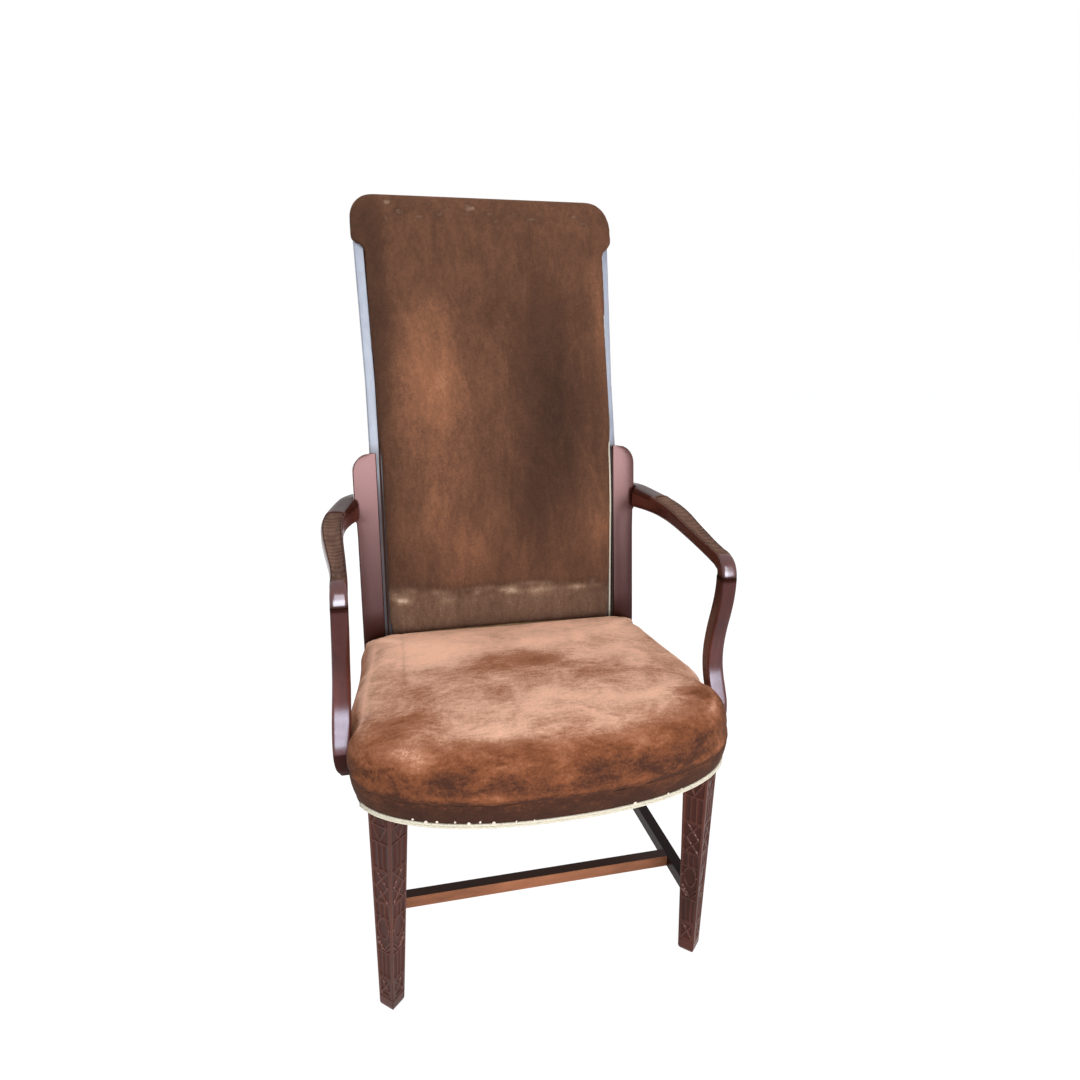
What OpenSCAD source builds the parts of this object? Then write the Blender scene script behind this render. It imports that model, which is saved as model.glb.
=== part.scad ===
/* [Overall] */
// Height from the floor to the top of the head roll
overall_h = 1150; // [1080:5:1220]
// Depth from the front of the seat to the back of the head roll
overall_d = 656; // [636:2:680]

/* [Seat] */
// Width of the seat over its cover, just behind the front corners
seat_w = 559; // [540:1:590]
// How much narrower the seat is where it meets the rear uprights
seat_narrowing = 66; // [50:1:70]
// How far the bowed front stands forward of the widest line
bow_d = 131.5; // [120:0.5:145]
// Underside of the seat rails above the floor
rail_z = 343; // [310:1:380]
// Height of the seat rails
rail_h = 62; // [50:1:75]
// Thickness of the seat rails
rail_t = 24; // [18:1:30]
// Rise of the seat's stuffed crown above its hessian
crown_h = 42; // [30:1:60]
// Height of the sewn border strip round the seat
border_h = 35; // [25:1:45]
// Diameter of each of the two piping cords
piping_d = 4.6; // [3:0.2:6]

/* [Front legs] */
// Distance from the widest line of the seat in to the middle of a front leg's head
leg_inset = 50.5; // [48.5:0.5:53.5]
// How far each front foot stands out from the head of its leg
foot_splay = 7.5; // [0:0.5:14]
// Side of the square leg at the seat
leg_head = 38.8; // [34:0.2:39]
// Side of the square leg at the floor
leg_foot = 25.6; // [20:0.2:34]

/* [Rear legs] */
// Distance from the widest line of the seat in to the middle of a rear upright
upright_inset = 53.5; // [51.5:0.5:55.5]
// Width of the rear upright
upright_w = 38; // [34:1:42]
// Depth of the rear upright
upright_dep = 40; // [34:1:46]
// Height of the shouldered top of the rear upright above the middle of the arm's root
upright_rise = 91; // [70:1:110]
// Backward lean of the upright for each unit of height
upright_lean = 0.155; // [0.12:0.005:0.16]
// How far the rear foot is kicked back behind the upright
kick = 62; // [30:1:90]
// Depth and width of the rear foot
rear_foot = 28; // [22:1:34]

/* [Stretchers] */
// Underside of the stretchers above the floor
stretcher_z = 96.5; // [60:0.5:160]
// Height of each stretcher
stretcher_h = 19.4; // [14:0.2:26]
// Width of each stretcher
stretcher_w = 17.6; // [14:0.2:22]
// Distance from the front legs back to the middle of the medial stretcher
medial_back = 85; // [60:1:200]

/* [Arms] */
// Height of the middle of the arm where it leaves the upright
arm_z = 652; // [630:1:680]
// Drop of the arm from its root to the knuckle joint
arm_drop = 40; // [30:1:50]
// Outward bow of the arm from the upright
arm_bow = 37.5; // [34:0.5:44]
// Distance from the widest line of the seat back to the knuckle
knuckle_back = 24.5; // [20:0.5:30]
// Width of the arm at its root
arm_w = 38; // [32:1:40]
// Height of the arm at its root
arm_h = 40; // [32:1:44]
// Width and depth of the arm support at the knuckle
support_w = 24; // [20:0.5:27]

/* [Back] */
// Width of each back post
post_w = 27; // [22:1:32]
// Depth of each back post
post_dep = 26; // [20:1:30]
// Backward lean of the lower back for each unit of height
lower_lean = 0.113; // [0.10:0.002:0.12]
// Backward lean of the upper back for each unit of height
upper_lean = 0.325; // [0.30:0.005:0.34]
// Height above the floor where the back bends
bend_z = 690; // [680:1:710]
// Thickness of the stuffed back at its middle
back_pad = 22; // [14:1:28]
// Height of the head roll that wraps the top of the back
head_h = 78; // [60:1:95]
// Distance from the widest line of the seat in to each ear of the head roll
ear_inset = 53; // [45:0.5:54]

/* [Cloth and fixings] */
// Thickness of the velvet covers
cloth_t = 2.2; // [1.6:0.1:3]
// Width of the webbing straps
web_w = 50; // [40:1:56]
// Diameter of the dowels in the arm joints
dowel_d = 9; // [6:0.5:10]
// Diameter of the screws
screw_d = 4.5; // [3.5:0.5:5]
// Diameter of a tack or nail head
tack_d = 4.4; // [3:0.2:6]

/* [Hidden] */

// Colours
mahogany = "#5b342b";
dark_mahogany = "#4a2a22";
beech = "#c8a878";
velvet = "#9c6a4c";
dark_velvet = "#5a3826";
jute = "#b89b6a";
hair = "#6f5a44";
cream = "#e2dac6";
black_cloth = "#2a2826";
steel = "#9a9a9c";
brass = "#c9a25a";

// Clearances and the overrun of every cut
gap = 0.3;
fit = 0.2;
over = 5;

// Back profile: the posts' front face leans, bends and leans further
rail_top = rail_z + rail_h;
lean_rise = 25;
lean_z = rail_top + lean_rise;
bend_half = 70;
head_z = overall_h - head_h;
roll_pad = 4;
roll_front = 14;
roll_corner = 38;
roll_side = 18;
roll_steps = 7;
roll_n = 4;
head_w = seat_w - ear_inset * 2;
roll_peak = pow(cos(90 / (roll_side - 1)), 2 / roll_n);
roll_half = (post_dep + roll_pad + roll_front) / 2;
roll_mid = (post_dep + roll_pad - roll_front) / 2;

// Seat plan: front of the cover, widest line, and the line where the uprights stand
post_set = 17;
front_y = -overall_d / 2;
wide_y = front_y + bow_d;
upright_y = overall_d / 2 - back_reach() - post_set;
post_y = upright_y + post_set;
seat_y = upright_y - gap;
seat_mid_y = (front_y + seat_y) / 2;
bow_n = 2.2;
bow_steps = 12;
flat_share = 0.07;
side_shares = [0.03, 0.06, 0.09, 0.12, 0.15, 0.19, 0.26, 0.42, 0.62, 0.82, 1];
border_inset = piping_d * 2;
rail_inset = border_inset + cloth_t + gap;
rail_inner = rail_inset + rail_t;
seat_back_w = seat_w - seat_narrowing;
taper = seat_narrowing / 2 / (seat_y - wide_y);
web_t = 2;
hessian_t = 1;
stuffing_z = rail_top + web_t * 2 + hessian_t + gap;
seat_top = stuffing_z + crown_h + cloth_t;
seam_z = rail_z + border_h;
cover_rise = seat_top - seam_z;
tuck = 0.8;
tuck_z = stuffing_z + gap;
lift_share = 0.64;
side_ease = 5;
dent = 5;
dent_half = 22;
piping_last = 9;

// Front legs, set with one arris forward and one outward
leg_set = 92;
leg_y = front_y + leg_set;
head_r = leg_head / sqrt(2);
foot_r = leg_foot / sqrt(2);
head_x = seat_w / 2 - leg_inset;
foot_x = head_x + foot_splay;
block_w = 34;
block_drop = 8;

// Uprights and back posts
up_x = seat_w / 2 - upright_inset;
upright_h = arm_z + upright_rise;
up_in = up_x - upright_w / 2;
up_out = up_x + upright_w / 2;
shoulder = 1.5;
shoulder_w = 27;
shoulder_h = 32;
top_fall = 10;
knee_drop = 6;
knee_z = rail_z - knee_drop;
knee_power = 1.35;
knee_steps = 8;
post_lap = 9.5;
post_out = up_in + post_lap;
post_in = post_out - post_w;
post_flare = 7;
flare_rise = 160;
flare_z = bend_z + flare_rise;
post_drop = 48;
post_top = overall_h - post_drop;
post_steps = 24;
back_rail_h = 50;
reveal = 14.2;
cover_drop = 3;
cover_z = lean_z - cover_drop;
pad_steps = 14;
arc_steps = 16;
arc_n = 5;
rear_rail_set = 6;
rear_rail_y = upright_y + rear_rail_set;
trim_w = piping_d * 0.7;
trim_t = hessian_t * 1.5;

// Stretchers and their tenons
tenon_t = 9;
tenon_len = 13;
tenon_drop = 8;
peg_t = 8;
peg_drop = 3;
stretcher_top = stretcher_z + stretcher_h;
stretcher_mid = stretcher_z + stretcher_h / 2;
stretcher_share = stretcher_mid / rail_z;
stretcher_x = foot_x + (head_x - foot_x) * stretcher_share;
kick_share = pow(1 - stretcher_mid / knee_z, knee_power);
stretcher_end_y = upright_y + kick * kick_share + peg_t;
medial_y = leg_y + medial_back;

// Arms: the knuckle joint, the foot of the support and the two routes
knuckle_y = wide_y + knuckle_back;
knuckle_z = arm_z - arm_drop;
knuckle_in = 5.5;
knuckle_x = up_out + arm_bow - knuckle_in;
foot_rise = 10;
support_foot_z = rail_z + foot_rise;
support_h = knuckle_z - support_foot_z;
support_sway = 30;
support_out = 15;
support_y = knuckle_y + support_sway * 0.26;
dent_y = knuckle_y + support_sway * 0.45;
foot_cut_rise = 49;
foot_cut_z = rail_z + foot_cut_rise;
foot_cut_lean = 31;
pad_rise = 9;
pad_z = rail_z + pad_rise;
pad_h = 22;
pad_w = 18;
arm_root_y = upright_y + upright_lean * (arm_z - lean_z) + upright_dep / 2;
arm_run = arm_root_y - knuckle_y;
dowel_rise = 10;
dowel_in = 18;
dowel_out = 10;
arm_n = 3.2;
arm_sides = 16;

// Arm route from root to knuckle: outward bow, run and drop, then width and height
arm_shares = [
    [-0.30, 1.02, -0.02, 1.00, 1.02], [0.12, 0.985, -0.02, 1.02, 1.00], [0.36, 0.93, 0.01, 1.02, 0.92],
    [0.64, 0.855, 0.05, 0.98, 0.82], [0.88, 0.765, 0.09, 0.94, 0.75], [1.01, 0.66, 0.14, 0.90, 0.70],
    [1.02, 0.55, 0.19, 0.85, 0.64], [0.97, 0.43, 0.26, 0.78, 0.55], [0.90, 0.30, 0.32, 0.70, 0.51],
    [0.84, 0.18, 0.385, 0.62, 0.51], [0.82, 0.095, 0.44, 0.61, 0.53], [0.83, 0.045, 0.50, 0.615, 0.58],
    [0.845, 0.012, 0.66, 0.625, 0.62], [0.853, 0.00, 0.88, 0.63, 0.63], [0.853, 0.00, 1.08, 0.63, 0.63]];
// Support route from knuckle to foot: outward, backward, height left, width, depth
support_shares = [
    [0.00, 0.00, 1.02, 1.00, 1.00], [0.02, 0.01, 0.95, 1.00, 1.00], [0.05, 0.10, 0.87, 1.01, 1.00],
    [0.10, 0.33, 0.77, 1.02, 1.00], [0.16, 0.62, 0.67, 1.03, 1.00], [0.22, 0.85, 0.57, 1.05, 1.01],
    [0.28, 0.97, 0.48, 1.08, 1.02], [0.36, 0.98, 0.40, 1.10, 1.03], [0.44, 0.84, 0.32, 1.12, 1.04],
    [0.52, 0.56, 0.24, 1.12, 1.05], [0.56, 0.32, 0.17, 1.10, 1.05], [0.54, 0.26, 0.10, 1.06, 1.04],
    [0.44, 0.32, 0.045, 0.96, 0.98], [0.28, 0.40, 0.00, 0.72, 0.80]];
// Seat cover from seam to crown: inset, shrink toward the middle, rise, inset at the back
cover_shares = [
    [1.0, 1.0, 0.0, 0.0], [0.2, 1.0, 0.08, 0.0], [0.0, 1.0, 0.18, 0.0], [0.12, 1.0, 0.36, 0.0],
    [0.5, 1.0, 0.51, 0.1], [1.25, 1.0, 0.645, 0.5], [2.4, 1.0, 0.755, 1.4], [2.4, 0.85, 0.855, 1.4],
    [2.4, 0.64, 0.935, 1.4], [2.4, 0.40, 0.985, 1.4], [2.4, 0.15, 1.0, 1.4]];
// Thickness of the back pad from its foot to the head roll
pad_shares = [0.46, 0.72, 0.90, 1, 1, 1, 1, 1, 1, 1, 0.96, 0.9, 0.84, 0.78, 0.72];

// How far the back leans behind the posts' foot at a height
function lean_run(z) = lower_lean * (z - lean_z) + (upper_lean - lower_lean)
    * (z < bend_z - bend_half ? 0
        : z < bend_z + bend_half ? pow(z - bend_z + bend_half, 2) / (4 * bend_half)
        : z - bend_z);

// The furthest point of the head roll behind the posts' foot
function back_reach() = max([for (p = roll_ring(0, 0, head_z)) p[1]]);

function back_line(z) = post_y + lean_run(z);

// Closed rings and lofts

function signed_pow(v, n) = sign(v) * pow(abs(v), 2 / n);

function super_ring(a, b, n, sides) = [for (i = [0:sides - 1])
    let (turn = 360 * (i + 0.5) / sides) [a * signed_pow(cos(turn), n), b * signed_pow(sin(turn), n)]];

// A ring of points square to a route at step i: width lies across the plan
function route_ring(route, i) =
    let (p = route[i],
        a = route[max(i - 1, 0)],
        b = route[min(i + 1, len(route) - 1)],
        run = [b[0] - a[0], b[1] - a[1], b[2] - a[2]],
        t = run / norm(run),
        s = cross(t, abs(t[2]) > 0.5 ? [0, -1, 0] : [0, 0, 1]),
        side = (s[0] < 0 ? -s : s) / norm(s),
        up = cross(side, t))
    [for (q = super_ring(p[3] / 2, p[4] / 2, arm_n, arm_sides))
        [p[0], p[1], p[2]] + side * q[0] + up * q[1]];

// A closed solid through rings that each hold the same even count of points
module loft(rings, flip = false) {
    n = len(rings[0]);
    top = (len(rings) - 1) * n;
    points = [for (r = rings) for (p = r) p];
    walls = [for (j = [0:len(rings) - 2]) for (i = [0:n - 1])
        let (a = j * n + i, b = j * n + (i + 1) % n) each [[a, b, b + n], [a, b + n, a + n]]];
    caps = [for (i = [0:n / 2 - 2]) let (c = n - 2 - i, d = n - 1 - i)
        each [[i, c, i + 1], [i, d, c], [top + i, top + i + 1, top + c], [top + i, top + c, top + d]]];
    faces = concat(walls, caps);
    polyhedron(points, flip ? faces : [for (f = faces) [f[0], f[2], f[1]]]);
}

// A plate drawn in side view, y across and z up, running from x0 to x1
module side_plate(points, x0, x1) {
    translate([x0, 0, 0]) rotate([90, 0, 90]) linear_extrude(x1 - x0) polygon(points);
}

// A plate drawn in front view, x across and z up, running from y0 to y1
module front_plate(points, y0, y1) {
    translate([0, y1, 0]) rotate([90, 0, 0]) linear_extrude(y1 - y0) polygon(points);
}

module slab(low, high) {
    translate(low) cube(high - low);
}

function reversed(list) = [for (i = [len(list) - 1:-1:0]) list[i]];

module mirrored() {
    children();
    mirror([1, 0, 0]) children();
}

// Seat plan

function bow_point(inset, turn) = [(seat_w / 2 - inset) * pow(sin(turn), 2 / bow_n),
    wide_y - (bow_d - inset) * pow(cos(turn), 2 / bow_n)];

// The sides taper toward the uprights and are drawn in a little behind their middle
function side_x(y, inset) = seat_w / 2 - inset - taper * (y - wide_y)
    - side_ease * sin(180 * pow(min(1, max(0, (y - wide_y) / (seat_y - wide_y))), 2));

function dent_at(y) = dent * exp(-pow((y - dent_y) / dent_half, 4));

// Right half of the outline from the flat middle of the front to the rear corner
function half_plan(inset, back, dents) = concat(
    [[seat_w * flat_share / 2, front_y + inset]],
    [for (k = [1:bow_steps]) bow_point(inset, 90 * k / bow_steps)],
    [for (s = side_shares) let (y = wide_y + (back - wide_y) * s)
        [side_x(y, inset) - (dents ? dent_at(y) : 0), y]]);

function mirror_half(half) = [for (i = [len(half) - 1:-1:0]) [-half[i][0], half[i][1]]];

// The seat's outline in plan, inset from the widest line of the cover
module plan_area(inset, back) {
    half = half_plan(inset, back, false);
    polygon(concat(half, mirror_half(half)));
}

module plan_solid(inset, back, z0, z1) {
    translate([0, 0, z0]) linear_extrude(z1 - z0) plan_area(inset, back);
}

function drawn_in(p, shrink, z) = [p[0] * shrink, seat_mid_y + (p[1] - seat_mid_y) * shrink, z];

// A ring of the cover, drawn in toward the middle of the seat; it reaches back between the uprights
function cover_ring(inset, shrink, z, back_inset, skin, rear_z) =
    let (back = seat_y - back_inset - skin,
        inner = up_in - gap - skin,
        half = half_plan(inset + skin, back - tuck * 2, true),
        edge = side_x(upright_y, rail_inset) + gap - inset / 4,
        rear = [[edge, back - tuck], [inner, back], [inner, back + rear_rail_set]])
    concat([for (p = half) drawn_in(p, shrink, z)],
        [for (p = concat(rear, mirror_half(rear))) drawn_in(p, shrink, rear_z)],
        [for (p = mirror_half(half)) drawn_in(p, shrink, z)]);

// The rear edge of the cover is tucked over the webbing and joins the crown at lift_share
function rear_rise(share) = share > lift_share ? cover_rise * share
    : tuck_z - seam_z + (cover_rise * lift_share - tuck_z + seam_z) * share / lift_share;

function cover_rings(skin) = [for (r = cover_shares) let (drop = skin * min(1, r[2] * 1.4))
    cover_ring(r[0] * border_inset, r[1], seam_z + cover_rise * r[2] - drop,
        r[3] * border_inset, skin, seam_z + rear_rise(r[2]) - drop)];

// Side view of a strip that follows the back between two heights
function back_strip(y0, y1, z0, z1) = concat(
    [for (k = [0:post_steps]) let (z = z0 + (z1 - z0) * k / post_steps) [back_line(z) + y0, z]],
    [for (k = [post_steps:-1:0]) let (z = z0 + (z1 - z0) * k / post_steps) [back_line(z) + y1, z]]);

function post_edge(z) = post_out + post_flare * max(0, z - flare_z) / (post_top - flare_z);

module back_sheet(y0, y1, z0, z1, half) {
    side_plate(back_strip(y0, y1, z0, z1), -half, half);
}

// Front legs

module diagonal(z) {
    translate([head_x, leg_y, z]) rotate(45) children();
}

function diamond(x, r, z) = [[x, leg_y - r, z], [x + r, leg_y, z], [x, leg_y + r, z], [x - r, leg_y, z]];

module leg_stock() {
    loft([diamond(foot_x, foot_r, 0), diamond(head_x, head_r, rail_z), diamond(head_x, head_r, rail_top)]);
}

// Space kept clear round the front leg up to height z
module leg_space(z, space) {
    share = min(z, rail_z) / rail_z;
    r = foot_r + (head_r - foot_r) * share + space * sqrt(2);
    translate([foot_x + (head_x - foot_x) * share, leg_y, 0])
        linear_extrude(z) polygon([[0, -r], [r, 0], [0, r], [-r, 0]]);
}

module rail_tenons(grow) {
    v = rail_t / 2 - leg_head / 2;
    half = (tenon_len + over) / 2;
    for (s = [-1, 1])
        diagonal(rail_z + tenon_drop - grow)
            translate([s * (leg_head / 2 - tenon_len / 2 + over / 2), v, 0])
                slab([-half - grow, -tenon_t / 2 - grow, 0],
                    [half + grow, tenon_t / 2 + grow, rail_h - tenon_drop * 2 + grow * 2]);
}

module corner_screw(grow) {
    diagonal(rail_z + rail_h / 2)
        translate([0, leg_head / 2 + fit + block_w + fit, 0]) rotate([90, 0, 0]) {
            cylinder(d = screw_d + grow * 2, h = block_w + leg_head / 2, $fn = 24);
            translate([0, 0, -screw_d / 2]) cylinder(d = screw_d * 2 + grow * 2, h = screw_d / 2, $fn = 24);
        }
}

module front_leg() {
    color(mahogany) difference() {
        leg_stock();
        rail_tenons(fit);
        corner_screw(fit);
        side_pegs(fit);
    }
}

// Rear legs with their uprights

function kick_edge(y0, reach) = [for (k = [0:knee_steps]) let (z = knee_z * k / knee_steps)
    [y0 + reach * pow(1 - z / knee_z, knee_power), z]];

function upright_line(z) = upright_y + upright_lean * max(0, z - lean_z);

module upright_side(x0, x1) {
    rear = upright_y + upright_dep;
    foot_reach = kick + rear_foot - upright_dep;
    back_edge = kick_edge(rear, foot_reach);
    side_plate(concat(kick_edge(upright_y, kick),
        [[upright_y, lean_z], [upright_line(upright_h), upright_h],
            [upright_line(upright_h) + upright_dep, upright_h - top_fall], [rear, lean_z]],
        [for (i = [knee_steps:-1:0]) back_edge[i]]), x0, x1);
}

module upright_front() {
    step_z = arm_z - arm_h / 2 - gap;
    foot_in = (upright_w - rear_foot) / 2;
    front_plate(concat(
        [[up_in + foot_in, 0], [up_out - foot_in, 0], [up_out - shoulder, knee_z],
            [up_out - shoulder, step_z - shoulder * 2], [up_out + shoulder, step_z]],
        [for (k = [0:8]) let (turn = 90 * k / 8)
            [up_out + shoulder - shoulder_w * (1 - cos(turn)), upright_h - shoulder_h * (1 - sin(turn))]],
        [[up_in, upright_h], [up_in, knee_z]]), front_y, overall_d);
}

module upright_stock() {
    intersection() {
        upright_side(up_in - over, up_out + over);
        upright_front();
    }
}

module side_rail_tenon(grow) {
    x = side_x(upright_y, rail_inset) - rail_t / 2;
    slab([x - tenon_t / 2 - grow, upright_y - over, rail_z + tenon_drop - grow],
        [x + tenon_t / 2 + grow, upright_y + tenon_len + grow, rail_top - tenon_drop + grow]);
}

module rear_rail_tenon(grow) {
    y = rear_rail_y + upright_dep * 0.35;
    slab([up_in - over, y - tenon_t / 2 - grow, rail_z + tenon_drop - grow],
        [up_in + tenon_len + grow, y + tenon_t / 2 + grow, rail_top - tenon_drop + grow]);
}

module rear_corner_screw(grow) {
    reach = block_w * 0.55;
    translate([up_in, upright_y, rail_z + rail_h / 2]) rotate([0, 90, 225]) {
        translate([0, 0, -tenon_len]) cylinder(d = screw_d + grow * 2, h = tenon_len + reach, $fn = 24);
        translate([0, 0, reach]) cylinder(d = screw_d * 2 + grow * 2, h = screw_d / 2, $fn = 24);
    }
}

module rear_leg() {
    color(mahogany) difference() {
        upright_stock();
        post_stock(fit);
        side_rail_tenon(fit);
        rear_rail_tenon(fit);
        rear_corner_screw(fit);
        side_pegs(fit);
        arm_pegs(fit);
        post_screws(fit);
    }
}

// Seat rails and corner blocks

module rail_band(back) {
    translate([0, 0, rail_z]) linear_extrude(rail_h) difference() {
        plan_area(rail_inset, back);
        plan_area(rail_inner, back + over);
    }
}

module front_rail() {
    color(beech) difference() {
        rail_band(upright_y);
        mirrored() diagonal(rail_z - over)
            slab([-leg_head / 2 - fit, -overall_d, 0], [overall_d, overall_d, rail_h + over * 2]);
    }
    color(beech) mirrored() intersection() {
        rail_tenons(0);
        diagonal(rail_z) slab([-leg_head, -leg_head, 0], [0, leg_head, rail_h]);
    }
}

module side_rail() {
    color(beech) difference() {
        intersection() {
            rail_band(upright_y - fit);
            slab([0, -overall_d, rail_z], [seat_w, overall_d, rail_top]);
            diagonal(rail_z) slab([leg_head / 2 + fit, -overall_d, 0], [overall_d, overall_d, rail_h]);
        }
        support_bores(fit);
    }
    color(beech) intersection() {
        rail_tenons(0);
        diagonal(rail_z) slab([0, -leg_head, 0], [leg_head, leg_head, rail_h]);
    }
    color(beech) side_rail_tenon(0);
}

module rear_rail() {
    color(beech) slab([-up_in + fit, rear_rail_y, rail_z],
        [up_in - fit, rear_rail_y + upright_dep * 0.7, rail_top]);
    color(beech) mirrored() rear_rail_tenon(0);
}

module front_block() {
    face = leg_head / 2 + fit;
    difference() {
        intersection() {
            plan_solid(rail_inner + fit, upright_y, rail_z + block_drop, rail_top - block_drop);
            diagonal(rail_z)
                slab([-overall_d, face, 0], [overall_d, face + block_w, rail_h]);
        }
        corner_screw(fit);
    }
}

module rear_block() {
    inner = side_x(upright_y, rail_inner) - fit;
    reach = block_w * 1.3;
    difference() {
        translate([0, 0, rail_z + block_drop]) linear_extrude(rail_h - block_drop * 2)
            polygon([[inner, upright_y - fit],
                [side_x(upright_y - reach, rail_inner) - fit, upright_y - reach],
                [inner - reach, rear_rail_y - fit], [up_in - fit, rear_rail_y - fit],
                [up_in - fit, upright_y - fit]]);
        rear_corner_screw(fit);
    }
}

module corner_blocks() {
    color(beech) mirrored() {
        front_block();
        rear_block();
    }
}

module corner_screws() {
    color(steel) mirrored() {
        corner_screw(0);
        rear_corner_screw(0);
    }
}

// Stretchers

module stretcher_line(half, y0, y1, z0, z1) {
    slope = (up_x - stretcher_x) / (stretcher_end_y - leg_y);
    xa = stretcher_x + slope * (y0 - leg_y);
    xb = stretcher_x + slope * (y1 - leg_y);
    translate([0, 0, z0]) linear_extrude(z1 - z0)
        polygon([[xa - half, y0], [xa + half, y0], [xb + half, y1], [xb - half, y1]]);
}

module side_pegs(grow) {
    stretcher_line(peg_t / 2 + grow, leg_y - grow, stretcher_end_y + peg_t + grow,
        stretcher_z + peg_drop - grow, stretcher_top - peg_drop + grow);
}

module side_stretcher_stock() {
    difference() {
        stretcher_line(stretcher_w / 2, leg_y, stretcher_end_y, stretcher_z, stretcher_top);
        leg_space(stretcher_top, fit);
        translate([0, -fit, 0]) upright_stock();
    }
}

module medial_peg(grow) {
    slab([up_in - over, medial_y - peg_t / 2 - grow, stretcher_z + peg_drop - grow],
        [stretcher_x - peg_t / 4 + grow, medial_y + peg_t / 2 + grow,
            stretcher_top - peg_drop + grow]);
}

module side_stretcher() {
    color(mahogany) difference() {
        union() {
            side_stretcher_stock();
            side_pegs(0);
        }
        medial_peg(fit);
    }
}

module medial_stretcher() {
    half = stretcher_w / 2;
    color(mahogany) difference() {
        slab([-stretcher_x, medial_y - half, stretcher_z],
            [stretcher_x, medial_y + half, stretcher_top]);
        mirrored() stretcher_line(half + fit, leg_y, stretcher_end_y, stretcher_z - over, rail_z);
    }
    color(mahogany) mirrored() medial_peg(0);
}

// Arms and their supports

arm_route = [for (s = arm_shares) [up_out + s[0] * arm_bow, knuckle_y + s[1] * arm_run,
    arm_z - s[2] * arm_drop, s[3] * arm_w, s[4] * arm_h]];

support_route = [for (s = support_shares) [knuckle_x + s[0] * support_out, knuckle_y + s[1] * support_sway,
    support_foot_z + s[2] * support_h, s[3] * support_w, s[4] * support_w]];

module arm_pegs(grow) {
    for (s = [-1, 1])
        translate([up_out + shoulder - dowel_in - grow, arm_root_y - dowel_d, arm_z + s * dowel_rise])
            rotate([0, 90, 0])
                cylinder(d = dowel_d + grow * 2, h = dowel_in + dowel_out + grow * 2, $fn = 24);
}

module knuckle_peg(grow) {
    translate([knuckle_x, knuckle_y, knuckle_z - dowel_in - grow])
        cylinder(d = dowel_d + grow * 2, h = dowel_in + dowel_out + grow * 2, $fn = 24);
}

module arm() {
    color(mahogany) difference() {
        loft([for (i = [0:len(arm_route) - 1]) route_ring(arm_route, i)], true);
        slab([0, 0, 0], [up_out + shoulder + fit, overall_d, overall_h]);
        slab([0, -overall_d, 0], [overall_d, overall_d, knuckle_z]);
        arm_pegs(fit);
        knuckle_peg(fit);
    }
}

module support_pad(grow) {
    difference() {
        slab([up_out, support_y - pad_w / 2 - grow, pad_z - grow],
            [knuckle_x + support_out / 4, support_y + pad_w / 2 + grow, pad_z + pad_h + grow]);
        plan_solid(rail_inset - fit, upright_y, 0, overall_h);
    }
}

module support_bores(grow) {
    head_x0 = side_x(support_y, rail_inner) - over;
    for (s = [0.25, 0.75])
        translate([head_x0, support_y, pad_z + pad_h * s]) rotate([0, 90, 0]) {
            cylinder(d = screw_d * 2 + grow * 2, h = over + screw_d, $fn = 24);
            cylinder(d = screw_d + grow * 2, h = over + rail_t + rail_inset + screw_d, $fn = 24);
        }
}

module arm_support() {
    color(mahogany) difference() {
        union() {
            difference() {
                loft([for (i = [0:len(support_route) - 1]) route_ring(support_route, i)], true);
                slab([0, -overall_d, knuckle_z - fit], [overall_d, overall_d, overall_h]);
                translate([0, knuckle_y - support_w / 2 + fit, foot_cut_z]) rotate([-foot_cut_lean, 0, 0])
                    slab([0, -support_h, -support_h], [overall_d, 0, 0]);
            }
            support_pad(0);
        }
        knuckle_peg(fit);
        support_bores(fit);
    }
}

module arm_dowels() {
    color(beech) mirrored() arm_pegs(0);
}

module knuckle_dowels() {
    color(beech) mirrored() knuckle_peg(0);
}

module support_screws() {
    color(steel) mirrored() difference() {
        support_bores(0);
        slab([0, -overall_d, 0], [side_x(support_y, rail_inner), overall_d, overall_h]);
    }
}

// Back frame

module post_stock(grow) {
    intersection() {
        side_plate(back_strip(-grow, post_dep + grow, rail_top + fit - grow, post_top + grow),
            post_in - over, post_out + post_flare + over);
        front_plate([[post_in - grow, 0], [post_out + grow, 0], [post_out + grow, flare_z],
            [post_edge(post_top) + grow, post_top], [post_edge(post_top) + grow, overall_h],
            [post_in - grow, overall_h]], front_y, overall_d);
    }
}

module back_rail_shape(z, half) {
    side_plate(back_strip(0, post_dep, z, z + back_rail_h), -half, half);
}

module back_rail_tenons(z, grow) {
    mid = (post_dep - tenon_t) / 2;
    side_plate(back_strip(mid - grow, mid + tenon_t + grow, z + tenon_drop - grow,
        z + back_rail_h - tenon_drop + grow), post_in - over, post_in + tenon_len + grow);
}

module post_screws(grow) {
    for (s = [0.2, 0.8]) {
        z = lean_z + (upright_h - lean_z) * s;
        translate([post_in, back_line(z) + post_dep / 2, z]) rotate([0, 90, 0]) {
            cylinder(d = screw_d + grow * 2, h = post_w + tenon_len, $fn = 24);
            translate([0, 0, -grow]) cylinder(d = screw_d * 2 + grow * 2, h = screw_d / 2 + grow, $fn = 24);
        }
    }
}

module back_post() {
    color(dark_mahogany) difference() {
        post_stock(0);
        back_rail_tenons(rail_top + fit, fit);
        back_rail_tenons(post_top - back_rail_h, fit);
        post_screws(fit);
    }
}

module back_rail(z) {
    color(beech) back_rail_shape(z, post_in - fit);
    color(beech) mirrored() back_rail_tenons(z, 0);
}

module back_top_rail() {
    back_rail(post_top - back_rail_h);
}

module back_bottom_rail() {
    back_rail(rail_top + fit);
}

module back_screws() {
    color(steel) mirrored() post_screws(0);
}

// Seat upholstery

module strap(x, y0, y1, z) {
    slab([x - web_w / 2, y0, z], [x + web_w / 2, y1, z + web_t]);
}

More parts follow.
